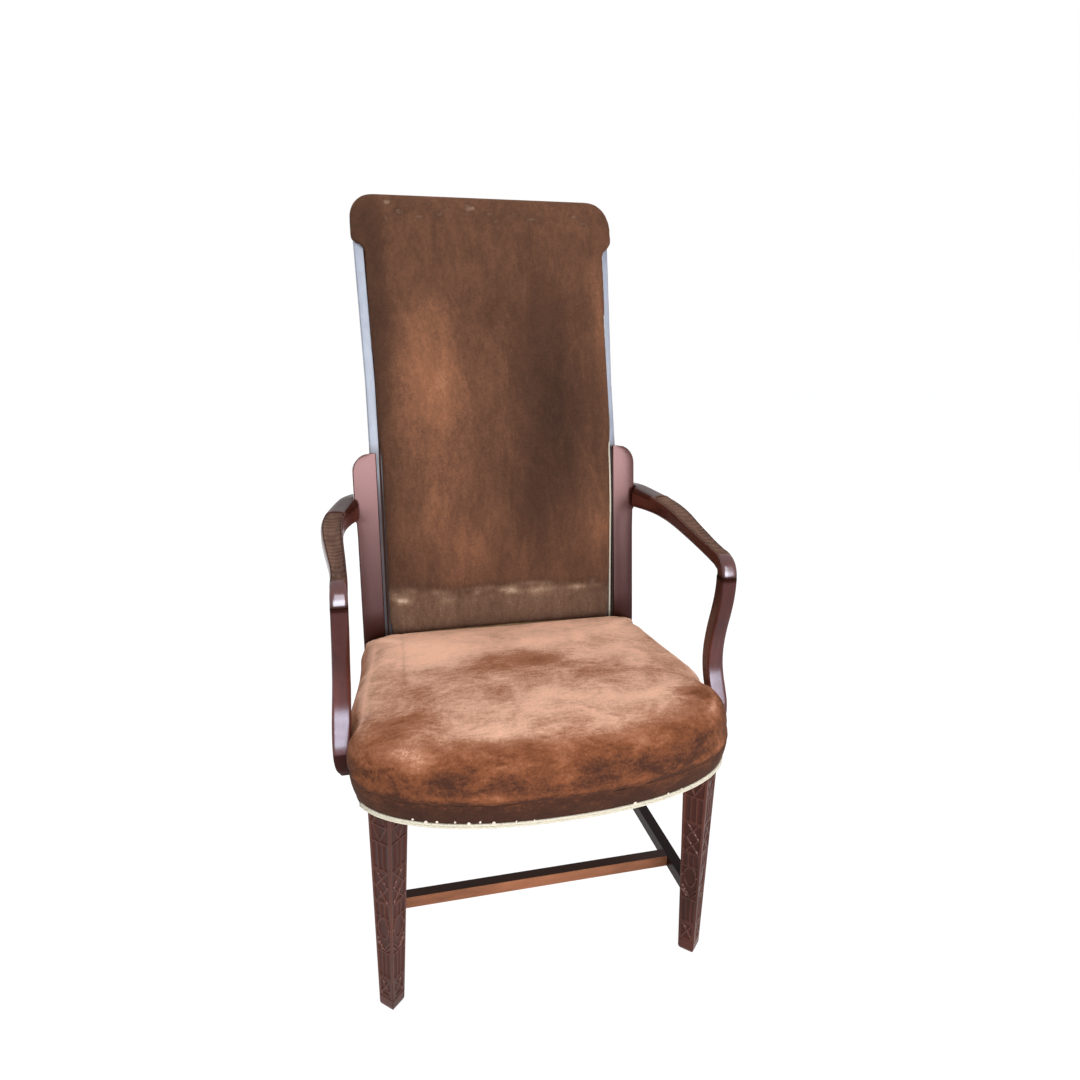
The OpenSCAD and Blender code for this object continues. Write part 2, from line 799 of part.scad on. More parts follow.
module seat_webbing() {
    lap = rail_inset + rail_t / 4;
    back = rear_rail_y + rail_t / 2;
    color(jute) intersection() {
        union() {
            for (i = [-2:2]) strap(i * seat_back_w / 6, front_y, back, rail_top);
            for (k = [0.16, 0.36, 0.56, 0.76])
                rotate(-90)
                    strap(-(front_y + (back - front_y) * k), -seat_w / 2, seat_w / 2, rail_top + web_t);
        }
        plan_solid(lap, back, rail_top, stuffing_z);
    }
}

module seat_hessian() {
    z = rail_top + web_t * 2;
    color(jute) plan_solid(rail_inset + rail_t / 4, seat_y - cloth_t, z, z + hessian_t);
}

module seat_stuffing() {
    rings = cover_rings(cloth_t + gap * 2);
    low = cover_rings(cloth_t + gap * 2 + border_inset / 4);
    color(hair) loft(concat(
        [for (r = [low[3]]) [for (p = r) [p[0], p[1], stuffing_z]]],
        [for (i = [4:len(rings) - 1]) rings[i]]));
}

module seat_cover() {
    outer = cover_rings(0);
    inner = cover_rings(cloth_t);
    color(velvet) loft(concat([for (i = [len(inner) - 1:-1:0]) inner[i]], outer));
}

module seat_border() {
    color(dark_velvet) difference() {
        plan_solid(border_inset, seat_y, rail_z, seam_z - gap);
        plan_solid(border_inset + cloth_t, seat_y + over, rail_z - over, seam_z + over);
        mirrored() support_pad(gap);
    }
}

// The cords follow the corners of the border's front; each ring stands square to the bow
function cord_ring(k, side, z) =
    let (inset = border_inset - piping_d / 2 - fit,
        p = half_plan(inset, seat_y, false)[k],
        half_step = 45 / bow_steps,
        q = bow_point(inset, k * half_step * 2 + half_step)
            - bow_point(inset, max(0, k * half_step * 2 - half_step)),
        n = k == 0 ? [0, -1] : [q[1], -q[0]] / norm(q))
    [for (a = [0:45:315]) [side * (p[0] + n[0] * cos(a) * piping_d / 2),
        p[1] + n[1] * cos(a) * piping_d / 2, z + sin(a) * piping_d / 2]];

module piping_cord(z) {
    loft(concat([for (k = [piping_last:-1:0]) cord_ring(k, -1, z)],
        [for (k = [0:piping_last]) cord_ring(k, 1, z)]), true);
}

module front_piping() {
    color(cream) {
        piping_cord(rail_z + piping_d * 0.45);
        piping_cord(rail_z + piping_d * 1.45 + fit);
    }
}

module front_tacks() {
    color(brass) for (s = [-1, 1]) for (k = [1:4]) {
        a = bow_point(border_inset, 90 * k / bow_steps);
        b = bow_point(border_inset, 90 * (k + 1) / bow_steps);
        mid = (a + b) / 2;
        turn = s * atan2(b[1] - a[1], b[0] - a[0]);
        translate([s * mid[0], mid[1], rail_z + piping_d * 2.6]) rotate([90, 0, turn])
            cylinder(d1 = tack_d, d2 = tack_d * 0.6, h = tack_d / 4, $fn = 16);
    }
}

module under_cloth() {
    inset = rail_inset + rail_t / 3;
    color(black_cloth) difference() {
        translate([0, 0, rail_z - hessian_t - gap]) linear_extrude(hessian_t) union() {
            plan_area(inset, upright_y - fit);
            translate([-up_in + fit, 0]) square([up_in * 2 - fit * 2, rear_rail_y + rail_t / 2]);
        }
        mirrored() leg_space(rail_z, gap);
    }
}

// Back upholstery

function pad_half(z) = post_edge(z) - reveal;

function pad_thick(z) =
    let (s = (z - cover_z) / (head_z - cover_z) * pad_steps, i = min(pad_steps - 1, floor(s)))
    back_pad * (pad_shares[i] + (pad_shares[i + 1] - pad_shares[i]) * (s - i));

// One level of the pad: an arch from side to side standing on the posts' front face
function pad_arch(z, half, thick, base, steps) = [for (i = [0:steps]) let (turn = 180 * i / steps)
    [half * signed_pow(cos(turn), arc_n), back_line(z) - base - thick * signed_pow(sin(turn), arc_n), z]];

function pad_level(k, z0, z1) = z0 + (z1 - z0) * k / pad_steps;

module back_webbing() {
    color(jute) intersection() {
        back_sheet(-web_t, 0, rail_top + back_rail_h / 4, post_top - back_rail_h / 4,
            post_in + tenon_len / 2);
        union() {
            for (i = [-1, 0, 1]) translate([i * post_in / 2, 0, 0])
                slab([-web_w / 2, 0, 0], [web_w / 2, overall_d, overall_h]);
            for (k = [0.2, 0.4, 0.6, 0.8]) let (z = rail_top + (post_top - rail_top) * k)
                slab([-seat_w, 0, z - web_w / 2], [seat_w, overall_d, z + web_w / 2]);
        }
    }
}

module back_hessian() {
    color(jute) back_sheet(-web_t - hessian_t, -web_t, cover_z + cloth_t, head_z - cloth_t,
        post_in + tenon_len / 2);
}

module back_stuffing() {
    base = web_t + hessian_t + gap;
    color(hair) loft([for (k = [0:pad_steps]) let (z = pad_level(k, cover_z + cloth_t, head_z - cloth_t))
        pad_arch(z, pad_half(z) - cloth_t - gap * 2, pad_thick(z) - cloth_t - gap - base, base,
            arc_steps - 1)], true);
}

module back_cover() {
    color(velvet) loft([for (k = [0:pad_steps]) let (z = pad_level(k, cover_z, head_z - gap))
        concat(pad_arch(z, pad_half(z), pad_thick(z), gap, arc_steps),
            reversed(pad_arch(z, pad_half(z) - cloth_t, pad_thick(z) - cloth_t, gap, arc_steps)))], true);
}

// Head roll: an arch in side view at each station across the chair

function roll_top(x, skin) =
    let (half = head_w / 2 - skin,
        s = max(0, abs(x) - half + roll_corner) / roll_corner)
    overall_h - skin - roll_corner * (1 - sqrt(max(0, 1 - s * s)));

// Points of one arch, behind the posts' foot
function roll_ring(x, skin, low) =
    [for (i = [0:roll_side - 1])
        let (turn = 180 * i / (roll_side - 1),
            z = low + (roll_top(x, skin) - low) * signed_pow(sin(turn), roll_n) / roll_peak)
        [x, lean_run(z) + roll_mid - (roll_half - skin) * signed_pow(cos(turn), roll_n), z]];

module roll_solid(skin, low) {
    half = head_w / 2 - skin;
    flat = half - roll_corner;
    bend = [for (k = [0:roll_steps]) flat + roll_corner * sin(84 * k / roll_steps)];
    stations = concat(reversed([for (x = bend) -x]), bend);
    translate([0, post_y, 0]) loft([for (x = stations) roll_ring(x, skin, low)], true);
}

module roll_core(grow) {
    mirrored() post_stock(grow);
    back_rail_shape(post_top - back_rail_h, post_in + over);
    back_sheet(-web_t - hessian_t - gap, 0, head_z - over, post_top, post_in + tenon_len / 2 + grow);
}

module head_cover() {
    color(velvet) difference() {
        roll_solid(0, head_z);
        roll_solid(cloth_t, head_z - over);
    }
}

module head_stuffing() {
    color(hair) difference() {
        roll_solid(cloth_t + gap, head_z + cloth_t);
        roll_core(gap);
        back_sheet(-gap, post_dep + gap, head_z - over, post_top + gap, post_in + over);
    }
}

module outside_back() {
    rear = post_dep + gap;
    color(dark_velvet) back_sheet(rear, rear + cloth_t, rail_top + gap * 2, head_z - gap, up_in - gap);
}

module trim_strip() {
    intersection() {
        back_sheet(-trim_t - gap, -gap, cover_z, head_z - gap, seat_w / 2);
        front_plate([[pad_half(cover_z) + gap, cover_z], [pad_half(cover_z) + gap + trim_w, cover_z],
            [pad_half(flare_z) + gap + trim_w, flare_z], [pad_half(head_z) + gap + trim_w, head_z],
            [pad_half(head_z) + gap, head_z], [pad_half(flare_z) + gap, flare_z]], front_y, overall_d);
    }
}

module back_nails() {
    nail_d = tack_d * 0.7;
    color(brass) mirrored() for (k = [0:9]) {
        z = cover_z + (head_z - cover_z) * (k + 0.5) / 10;
        lean = atan((back_line(z + nail_d) - back_line(z - nail_d)) / nail_d / 2);
        translate([pad_half(z) + gap + trim_w / 2, back_line(z) - trim_t - gap * 1.2, z])
            rotate([90 - lean, 0, 0]) cylinder(d = nail_d, h = nail_d / 4, $fn = 16);
    }
}

// Left and right pieces

module front_leg_right() {
    front_leg();
}

module front_leg_left() {
    mirror([1, 0, 0]) front_leg();
}

module rear_leg_right() {
    rear_leg();
}

module rear_leg_left() {
    mirror([1, 0, 0]) rear_leg();
}

module side_rail_right() {
    side_rail();
}

module side_rail_left() {
    mirror([1, 0, 0]) side_rail();
}

module side_stretcher_right() {
    side_stretcher();
}

module side_stretcher_left() {
    mirror([1, 0, 0]) side_stretcher();
}

module arm_right() {
    arm();
}

module arm_left() {
    mirror([1, 0, 0]) arm();
}

module arm_support_right() {
    arm_support();
}

module arm_support_left() {
    mirror([1, 0, 0]) arm_support();
}

module back_post_right() {
    back_post();
}

module back_post_left() {
    mirror([1, 0, 0]) back_post();
}

module back_trim_right() {
    color(cream) trim_strip();
}

module back_trim_left() {
    color(dark_velvet) mirror([1, 0, 0]) trim_strip();
}

front_leg_left();
front_leg_right();
rear_leg_left();
rear_leg_right();
front_rail();
side_rail_left();
side_rail_right();
rear_rail();
corner_blocks();
corner_screws();
side_stretcher_left();
side_stretcher_right();
medial_stretcher();
arm_left();
arm_right();
arm_support_left();
arm_support_right();
arm_dowels();
knuckle_dowels();
support_screws();
back_post_left();
back_post_right();
back_top_rail();
back_bottom_rail();
back_screws();
seat_webbing();
seat_hessian();
seat_stuffing();
seat_cover();
seat_border();
front_piping();
front_tacks();
under_cloth();
back_webbing();
back_hessian();
back_stuffing();
back_cover();
head_stuffing();
head_cover();
outside_back();
back_trim_left();
back_trim_right();
back_nails();
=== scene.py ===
"""Fireside armchair: carved mahogany frame, velvet seat and tall rolled back.

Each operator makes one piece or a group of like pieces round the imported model.
Lengths in the code are millimetres until a mesh is made, in the model's own frame.
"""

import bpy
import numpy as np
from mathutils import Matrix, Vector


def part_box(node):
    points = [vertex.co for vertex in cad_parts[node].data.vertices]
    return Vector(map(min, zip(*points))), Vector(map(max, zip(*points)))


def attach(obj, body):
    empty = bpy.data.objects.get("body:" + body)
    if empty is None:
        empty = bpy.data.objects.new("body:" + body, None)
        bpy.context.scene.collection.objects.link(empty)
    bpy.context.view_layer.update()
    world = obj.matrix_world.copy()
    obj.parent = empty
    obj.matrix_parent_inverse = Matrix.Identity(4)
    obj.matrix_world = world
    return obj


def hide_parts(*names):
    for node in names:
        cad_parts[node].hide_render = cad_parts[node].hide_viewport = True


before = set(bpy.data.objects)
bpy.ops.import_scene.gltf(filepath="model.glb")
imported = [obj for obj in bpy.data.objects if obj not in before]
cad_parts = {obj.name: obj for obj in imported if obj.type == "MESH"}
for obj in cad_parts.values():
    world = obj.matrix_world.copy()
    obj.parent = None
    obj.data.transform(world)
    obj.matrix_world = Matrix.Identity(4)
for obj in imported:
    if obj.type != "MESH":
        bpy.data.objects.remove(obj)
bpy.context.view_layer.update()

bl_info = {
    "name": "Fireside armchair",
    "version": (1, 0, 0),
    "blender": (4, 5, 0),
    "location": "View3D > Sidebar > Armchair",
    "description": "Builds the carved frame and velvet upholstery of a fireside armchair",
    "category": "Object",
}

MM = 0.001
SIDES = {"left": -1, "right": 1}


def linear(code, alpha=True):
    """An sRGB hex colour as linear values, by the sRGB transfer curve."""
    c = np.array([int(code[i:i + 2], 16) for i in (1, 3, 5)]) / 255
    c = np.where(c <= 0.04045, c / 12.92, ((c + 0.055) / 1.055) ** 2.4)
    return (*c, 1.0) if alpha else tuple(c)


def low_mm(node):
    """A node's lowest corner in millimetres."""
    return np.array(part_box(node)[0]) / MM


def high_mm(node):
    """A node's highest corner in millimetres."""
    return np.array(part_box(node)[1]) / MM


# Heights and lines that the solids give
RAIL_Z, RAIL_TOP = low_mm("front_rail")[2], high_mm("front_rail")[2]
SEAM_Z = low_mm("seat_cover")[2]
SEAT_TOP = high_mm("seat_cover")[2]
HALF_SEAT = high_mm("seat_cover")[0]
HEAD_Z, TOP_Z = low_mm("head_cover")[2], high_mm("head_cover")[2]
HALF_HEAD = high_mm("head_cover")[0]
POST_TOP = high_mm("back_post_right")[2]
KNUCKLE_Z = low_mm("arm_right")[2]
LEG_Y = (low_mm("front_leg_right")[1] + high_mm("front_leg_right")[1]) / 2


def length_property(name, default, least, most, description):
    """A length a user may change, its default and limits given in millimetres."""
    return bpy.props.FloatProperty(
        name=name, description=description, default=default * MM, min=least * MM, max=most * MM,
        unit="LENGTH")


class ChairSizes(bpy.types.PropertyGroup):
    """Sizes of the finish that the solids don't hold."""
    seat_swell: length_property("Seat swell", 7, 0, 20, "How far the seat's stuffing may push its velvet out")
    back_swell: length_property("Back swell", 4, 0, 20, "How far the back's stuffing may push its velvet out")
    voxel: length_property("Cloth mesh", 5.5, 3, 10, "Size of the cloth's faces while it is simulated")
    carving: length_property("Carving depth", 1.3, 0, 3, "Depth of the blind fret cut into the front legs")
    piping: length_property("Piping", 3.6, 2, 8, "Diameter of each piping cord")


def colour_property(name, code, description):
    """A colour a user may change, its default from an sRGB hex code."""
    return bpy.props.FloatVectorProperty(
        name=name, description=description, default=linear(code, False),
        size=3, min=0, max=1, subtype="COLOR")


class ChairColours(bpy.types.PropertyGroup):
    """Middle tones of the finishes, which lighter and darker tones follow."""
    mahogany: colour_property("Mahogany", "#3c1c15", "Polished mahogany of legs, uprights and arms")
    stretcher: colour_property("Stretcher", "#8d5a3f", "Faded mahogany of the medial stretcher")
    # The back posts' pale blue-grey is a painted reflection of the sky in their polish
    painted_sky_reflection: colour_property("Bloomed polish", "#a3a8b8", "Pale haze of old polish on the back posts")
    velvet: colour_property("Back velvet", "#63412f", "Brown cotton velvet of the inside back")
    seat: colour_property("Seat velvet", "#a76f53", "Faded cotton velvet of the seat")
    # The seat crown's pale tone: rubbed pile together with a painted sheen
    rubbed_and_sheen: colour_property("Rubbed velvet", "#e6b499", "Velvet rubbed pale on the seat's crown")
    # The border's dark tone is partly painted shade under the seat's overhang
    border: colour_property("Border velvet", "#3f2318", "Unfaded velvet of the border and outside back")
    cord: colour_property("Cord", "#e2dac6", "Cream cotton of the piping")


# ---------------------------------------------------------------- curves and meshes

def smooth(x):
    """A smooth step: 0 below 0, 1 above 1, 3x^2 - 2x^3 between."""
    x = np.clip(x, 0, 1)
    return x * x * (3 - 2 * x)


def bump(x, centre, width):
    """A bell, exp of minus the squared distance over the squared width."""
    return np.exp(-((x - centre) / width) ** 2)


def power(v, n):
    """Sign of v times its size to the power 2 / n, as in a superellipse."""
    return np.sign(v) * np.abs(v) ** (2 / n)


def spline(rows, count):
    """Points evenly spaced along a cubic Hermite curve through rows, with centred slopes."""
    rows = np.asarray(rows, float)
    step = np.linalg.norm(np.diff(rows[:, :3], axis=0), axis=1)
    t = np.concatenate([[0], np.cumsum(step)])
    slope = np.gradient(rows, t, axis=0)
    at = np.linspace(0, t[-1], count)
    i = np.clip(np.searchsorted(t, at, side="right") - 1, 0, len(t) - 2)
    h = (t[i + 1] - t[i])[:, None]
    s = ((at - t[i])[:, None]) / h
    return ((2 * s**3 - 3 * s**2 + 1) * rows[i] + (s**3 - 2 * s**2 + s) * h * slope[i]
            + (3 * s**2 - 2 * s**3) * rows[i + 1] + (s**3 - s**2) * h * slope[i + 1])


def grid_faces(rows, cols):
    """Quads between neighbouring rings, and fans from the end rings to the two points after them."""
    r, c = np.meshgrid(np.arange(rows - 1), np.arange(cols), indexing="ij")
    a, b = r * cols + c, r * cols + (c + 1) % cols
    quads = np.stack([a, b, b + cols, a + cols], -1).reshape(-1, 4)
    c = np.arange(cols)
    n, top = (c + 1) % cols, (rows - 1) * cols
    tris = np.concatenate([np.stack([n, c, np.full(cols, rows * cols)], -1),
                           np.stack([top + c, top + n, np.full(cols, rows * cols + 1)], -1)])
    return quads, tris


def volume(points, quads, tris):
    """Signed volume: a sixth of the sum of a . (b x c) over the triangles."""
    t = np.concatenate([quads[:, [0, 1, 2]], quads[:, [0, 2, 3]], tris])
    a, b, c = (points[t[:, k]] for k in range(3))
    return np.einsum("ij,ij->", a, np.cross(b, c)) / 6


def merged(name, grids, material, sharp=None):
    """One object at the origin from grids of rings in millimetres.

    Each grid's rings are joined in order, each end is closed by a fan round its middle, and the faces are
    turned outwards.
    """
    points, quads, tris, first = [], [], [], 0
    for grid in grids:
        own = np.concatenate([grid.reshape(-1, 3), grid[0].mean(0)[None], grid[-1].mean(0)[None]])
        q, t = grid_faces(*grid.shape[:2])
        if volume(own, q, t) < 0:
            q, t = q[:, ::-1], t[:, ::-1]
        points.append(own)
        quads.append(q + first)
        tris.append(t + first)
        first += len(own)
    points, quads, tris = (np.concatenate(part) for part in (points, quads, tris))
    mesh = bpy.data.meshes.new(name)
    mesh.vertices.add(len(points))
    mesh.vertices.foreach_set("co", (points * MM).astype(np.float32).ravel())
    corners = np.concatenate([quads.ravel(), tris.ravel()]).astype(np.int32)
    starts = np.concatenate([np.arange(len(quads)) * 4, len(quads) * 4 + np.arange(len(tris)) * 3])
    mesh.loops.add(len(corners))
    mesh.loops.foreach_set("vertex_index", corners)
    mesh.polygons.add(len(quads) + len(tris))
    mesh.polygons.foreach_set("loop_start", starts.astype(np.int32))
    mesh.update(calc_edges=True)
    mesh.validate()
    mesh.polygons.foreach_set("use_smooth", np.ones(len(mesh.polygons), bool))
    if sharp:
        mesh.set_sharp_from_angle(angle=np.radians(sharp))
    obj = bpy.data.objects.new(name, mesh)
    bpy.context.scene.collection.objects.link(obj)
    mesh.materials.append(material)
    return obj


def closed_grid(name, grid, material, sharp=None):
    """One closed object from one grid of rings."""
    return merged(name, [grid], material, sharp)


def rounded_ring(x0, x1, y0, y1, radius):
    """A rectangle for each row, its corners arcs of five points, as (rows, 20, 2)."""
    x0, x1, y0, y1 = (np.asarray(v, float)[:, None] for v in np.broadcast_arrays(x0, x1, y0, y1))
    r = np.minimum(radius, np.minimum(x1 - x0, y1 - y0) / 2.01)
    turn = np.linspace(0, np.pi / 2, 5)[None]
    xs, ys = [], []
    for k, (cx, cy) in enumerate([(x1 - r, y1 - r), (x0 + r, y1 - r), (x0 + r, y0 + r), (x1 - r, y0 + r)]):
        xs.append(cx + r * np.cos(turn + k * np.pi / 2))
        ys.append(cy + r * np.sin(turn + k * np.pi / 2))
    return np.stack([np.concatenate(xs, 1), np.concatenate(ys, 1)], -1)


def at_height(ring, z):
    """Plan rings (rows, cols, 2) lifted to z, given for each row or for each point."""
    z = np.broadcast_to(np.asarray(z, float).reshape(len(ring), -1), ring.shape[:2])
    return np.concatenate([ring, z[..., None]], -1)


def mirrored(grid, side):
    """The right-hand piece, or its mirror image for side -1."""
    return grid * np.array([side, 1, 1])


def paint(obj, name, values):
    """Stores one number for each vertex, or the same for all, as a named attribute."""
    layer = obj.data.attributes.new(name, "FLOAT", "POINT")
    layer.data.foreach_set("value", np.array(np.broadcast_to(values, len(obj.data.vertices)), np.float32))


def paint_rings(obj, marks):
    """Stores marks given for each point of a closed grid; the two middles of its ends get 0."""
    for name, values in marks.items():
        paint(obj, name, np.append(values, [0, 0]))


def places(obj):
    """The mesh's points in millimetres."""
    co = np.zeros(len(obj.data.vertices) * 3, np.float32)
    obj.data.vertices.foreach_get("co", co)
    return co.reshape(-1, 3).astype(float) / MM


def set_places(obj, points):
    """Moves the mesh's points to places in millimetres."""
    obj.data.vertices.foreach_set("co", (points * MM).astype(np.float32).ravel())
    obj.data.update()


def stand(obj, slot, *nodes):
    """Rides on the frame and stands for the given solids, which it hides; slot is not used."""
    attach(obj, "root")
    if nodes:
        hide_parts(*nodes)
    return obj


# ---------------------------------------------------------------- materials

def add(tree, kind, inputs=None, **settings):
    """Adds a shader node; an input is a number, a colour, an output, or a node for its first output."""
    node = tree.nodes.new(f"ShaderNode{kind}")
    for key, value in settings.items():
        setattr(node, key, value)
    for key, value in (inputs or {}).items():
        if isinstance(value, bpy.types.Node):
            value = value.outputs[0]
        if isinstance(value, bpy.types.NodeSocket):
            tree.links.new(value, node.inputs[key])
        else:
            node.inputs[key].default_value = value
    return node


def tone(colour, factor):
    """A linear colour made lighter or darker by a factor."""
    return tuple(min(1.0, c * factor) for c in colour[:3])


def ramp(tree, source, stops):
    """A colour ramp from (place, linear colour) stops, fed by source."""
    node = add(tree, "ValToRGB", {0: source})
    while len(node.color_ramp.elements) < len(stops):
        node.color_ramp.elements.new(0.5)
    for element, (place, colour) in zip(node.color_ramp.elements, stops):
        element.position = place
        element.color = (*colour[:3], 1)
    return node


def blend(tree, share, low, high):
    """A colour that goes from low to high with share."""
    return add(tree, "Mix", {0: share, 6: low, 7: high}, data_type="RGBA").outputs[2]


def ranged(tree, value, low, high, to_low=0.0, to_high=1.0):
    """A value carried from one range to another and held at its ends."""
    return add(tree, "MapRange", {"Value": value, "From Min": low, "From Max": high,
                                  "To Min": to_low, "To Max": to_high})


def stored(tree, name):
    """A number painted on the mesh's points."""
    return add(tree, "Attribute", attribute_name=name).outputs["Fac"]


def start(name):
    """An empty node material and its tree."""
    material = bpy.data.materials.new(name)
    material.use_nodes = True
    tree = material.node_tree
    tree.nodes.clear()
    return material, tree


def pattern(tree, scale, **values):
    """Noise on Object coordinates, its scale in repeats per metre, for all axes or for each."""
    where = add(tree, "Mapping", {"Vector": add(tree, "TexCoord").outputs["Object"],
                                  "Scale": np.broadcast_to(scale, 3).tolist()})
    return add(tree, "TexNoise", {"Vector": where, "Scale": 1.0, **values})


def total(tree, *parts):
    """The sum of sources, each an output, a node, or a (source, middle, share) taken from its middle."""
    result = None
    for part in parts:
        if isinstance(part, tuple):
            source, middle, share = part
            part = add(tree, "Math", {0: source, 1: share, 2: -middle * share}, operation="MULTIPLY_ADD")
        result = part if result is None else add(tree, "Math", {0: result, 1: part})
    return result


def finish_with(tree, colour, roughness, height, strength, distance, inputs):
    """A Principled surface with its colour, roughness and bump, wired to the output."""
    lift = add(tree, "Bump", {"Strength": strength, "Distance": distance, "Height": height})
    shader = add(tree, "BsdfPrincipled",
                 {"Base Color": colour, "Roughness": roughness, "Normal": lift, **inputs})
    add(tree, "OutputMaterial", {0: shader})


def mahogany(name, along, colour, film="#ffd9d2", rough=(0.17, 0.3), spread=(0.6, 1.45), gloss=0.5, top_darkening=0.0):
    """French-polished mahogany: straight fine grain with darker pores under a shellac-tinted polish.

    The attribute matt marks bare carved wood. A second attribute darkens the wood and dulls its polish:
    painted shade low on the uprights and posts, on the supports and on the tops of the arms' roots, and
    darker carved cuts and grooves and dark joints under the knuckles. A factor darkens faces that look up.
    """
    material, tree = start(name)
    broad, grain, pores = (
        pattern(tree, [long if k == along else wide for k in range(3)], **values) for long, wide, values in (
            (6.0, 22.0, {"Detail": 3.0}),
            (18.0, 95.0, {"Detail": 6.0, "Roughness": 0.6, "Distortion": 0.4}),
            (60.0, 900.0, {"Detail": 2.0, "Roughness": 0.7})))
    matt, shade_cuts_and_joints = stored(tree, "matt"), stored(tree, "shade_cuts_and_joints")
    mixed = total(tree, (broad, 0.0, 0.5), (grain, 0.0, 0.35), (pores, 0.0, 0.15))
    dark, light = (tone(colour, factor) for factor in spread)
    base = ramp(tree, mixed, [(0.36, dark), (0.5, colour), (0.66, light)])
    bare = ramp(tree, mixed, [(0.4, linear("#49332a")), (0.6, linear("#7c5d4e"))])
    # Blends in a dark tone: painted shade, and the colour of darker cuts and joints
    shown = blend(tree, shade_cuts_and_joints, blend(tree, matt, base, bare), (*tone(colour, 0.28), 1))
    # Faces that look up are darkened towards near black
    if top_darkening:
        facing = add(tree, "SeparateXYZ", {0: add(tree, "NewGeometry").outputs["Normal"]})
        above = ranged(tree, facing.outputs["Z"], 0.3, 0.7, 0.0, top_darkening)
        shown = blend(tree, above, shown, linear("#1a1110"))
    shine = ranged(tree, broad, 0.3, 0.7, *rough)
    level = ranged(tree, total(tree, matt, shade_cuts_and_joints), 0.0, 1.0, gloss, 0.03)
    finish_with(tree, shown, total(tree, shine, (matt, 0.0, 0.35)), pores, 0.1, 0.0004,
                {"IOR": 1.6, "Specular Tint": linear(film), "Specular IOR Level": level})
    return material


def velvet(name, stops, clouds, pile, shares):
    """Cotton velvet: matt short pile that shows its crushing as light and dark mottling.

    The attribute that picks the place along stops carries rubbing and fading of the pile together with
    painted light and shade; flat marks dusty pile that lies down.
    """
    material, tree = start(name)
    wear_and_painted_light, flat = stored(tree, "wear_and_painted_light"), stored(tree, "flat")
    cloud = pattern(tree, clouds, Detail=5.0, Roughness=0.62, Distortion=0.6)
    lines = pattern(tree, pile, Detail=5.0, Roughness=0.6)
    fuzz = pattern(tree, 260.0, Detail=5.0, Roughness=0.8)
    tufts = pattern(tree, 1100.0, Detail=2.0)
    mottle = total(tree, *[(n, 0.5, share) for n, share in zip((cloud, lines, fuzz, tufts), shares)])
    colour = ramp(tree, total(tree, wear_and_painted_light, mottle), stops)
    dusty = ramp(tree, total(tree, flat, (mottle, 0.0, 1.1)), [
        (0.2, linear("#3d281d")), (0.55, linear("#6a4f3f")), (0.82, linear("#8a6f5b")),
        (1.0, linear("#b8a38e"))])
    finish_with(tree, blend(tree, ranged(tree, flat, 0.1, 0.5), colour, dusty), 0.92,
                total(tree, fuzz, (tufts, 0.0, 0.6)), 0.5, 0.0014,
                {"Sheen Weight": 0.12, "Sheen Roughness": 0.45, "Sheen Tint": linear("#c59a80"),
                 "Specular IOR Level": 0.12})
    return material


def plain(name, low, high, scale, rough, strength=0.2, metal=0.0):
    """A finish with one mottled pattern in its colour and its relief, from a low to a high linear colour."""
    material, tree = start(name)
    cloudy = pattern(tree, scale, Detail=5.0, Roughness=0.6)
    finish_with(tree, ramp(tree, cloudy, [(0.3, low), (0.7, high)]), rough, cloudy, strength, 0.0006,
                {"Metallic": metal})
    return material


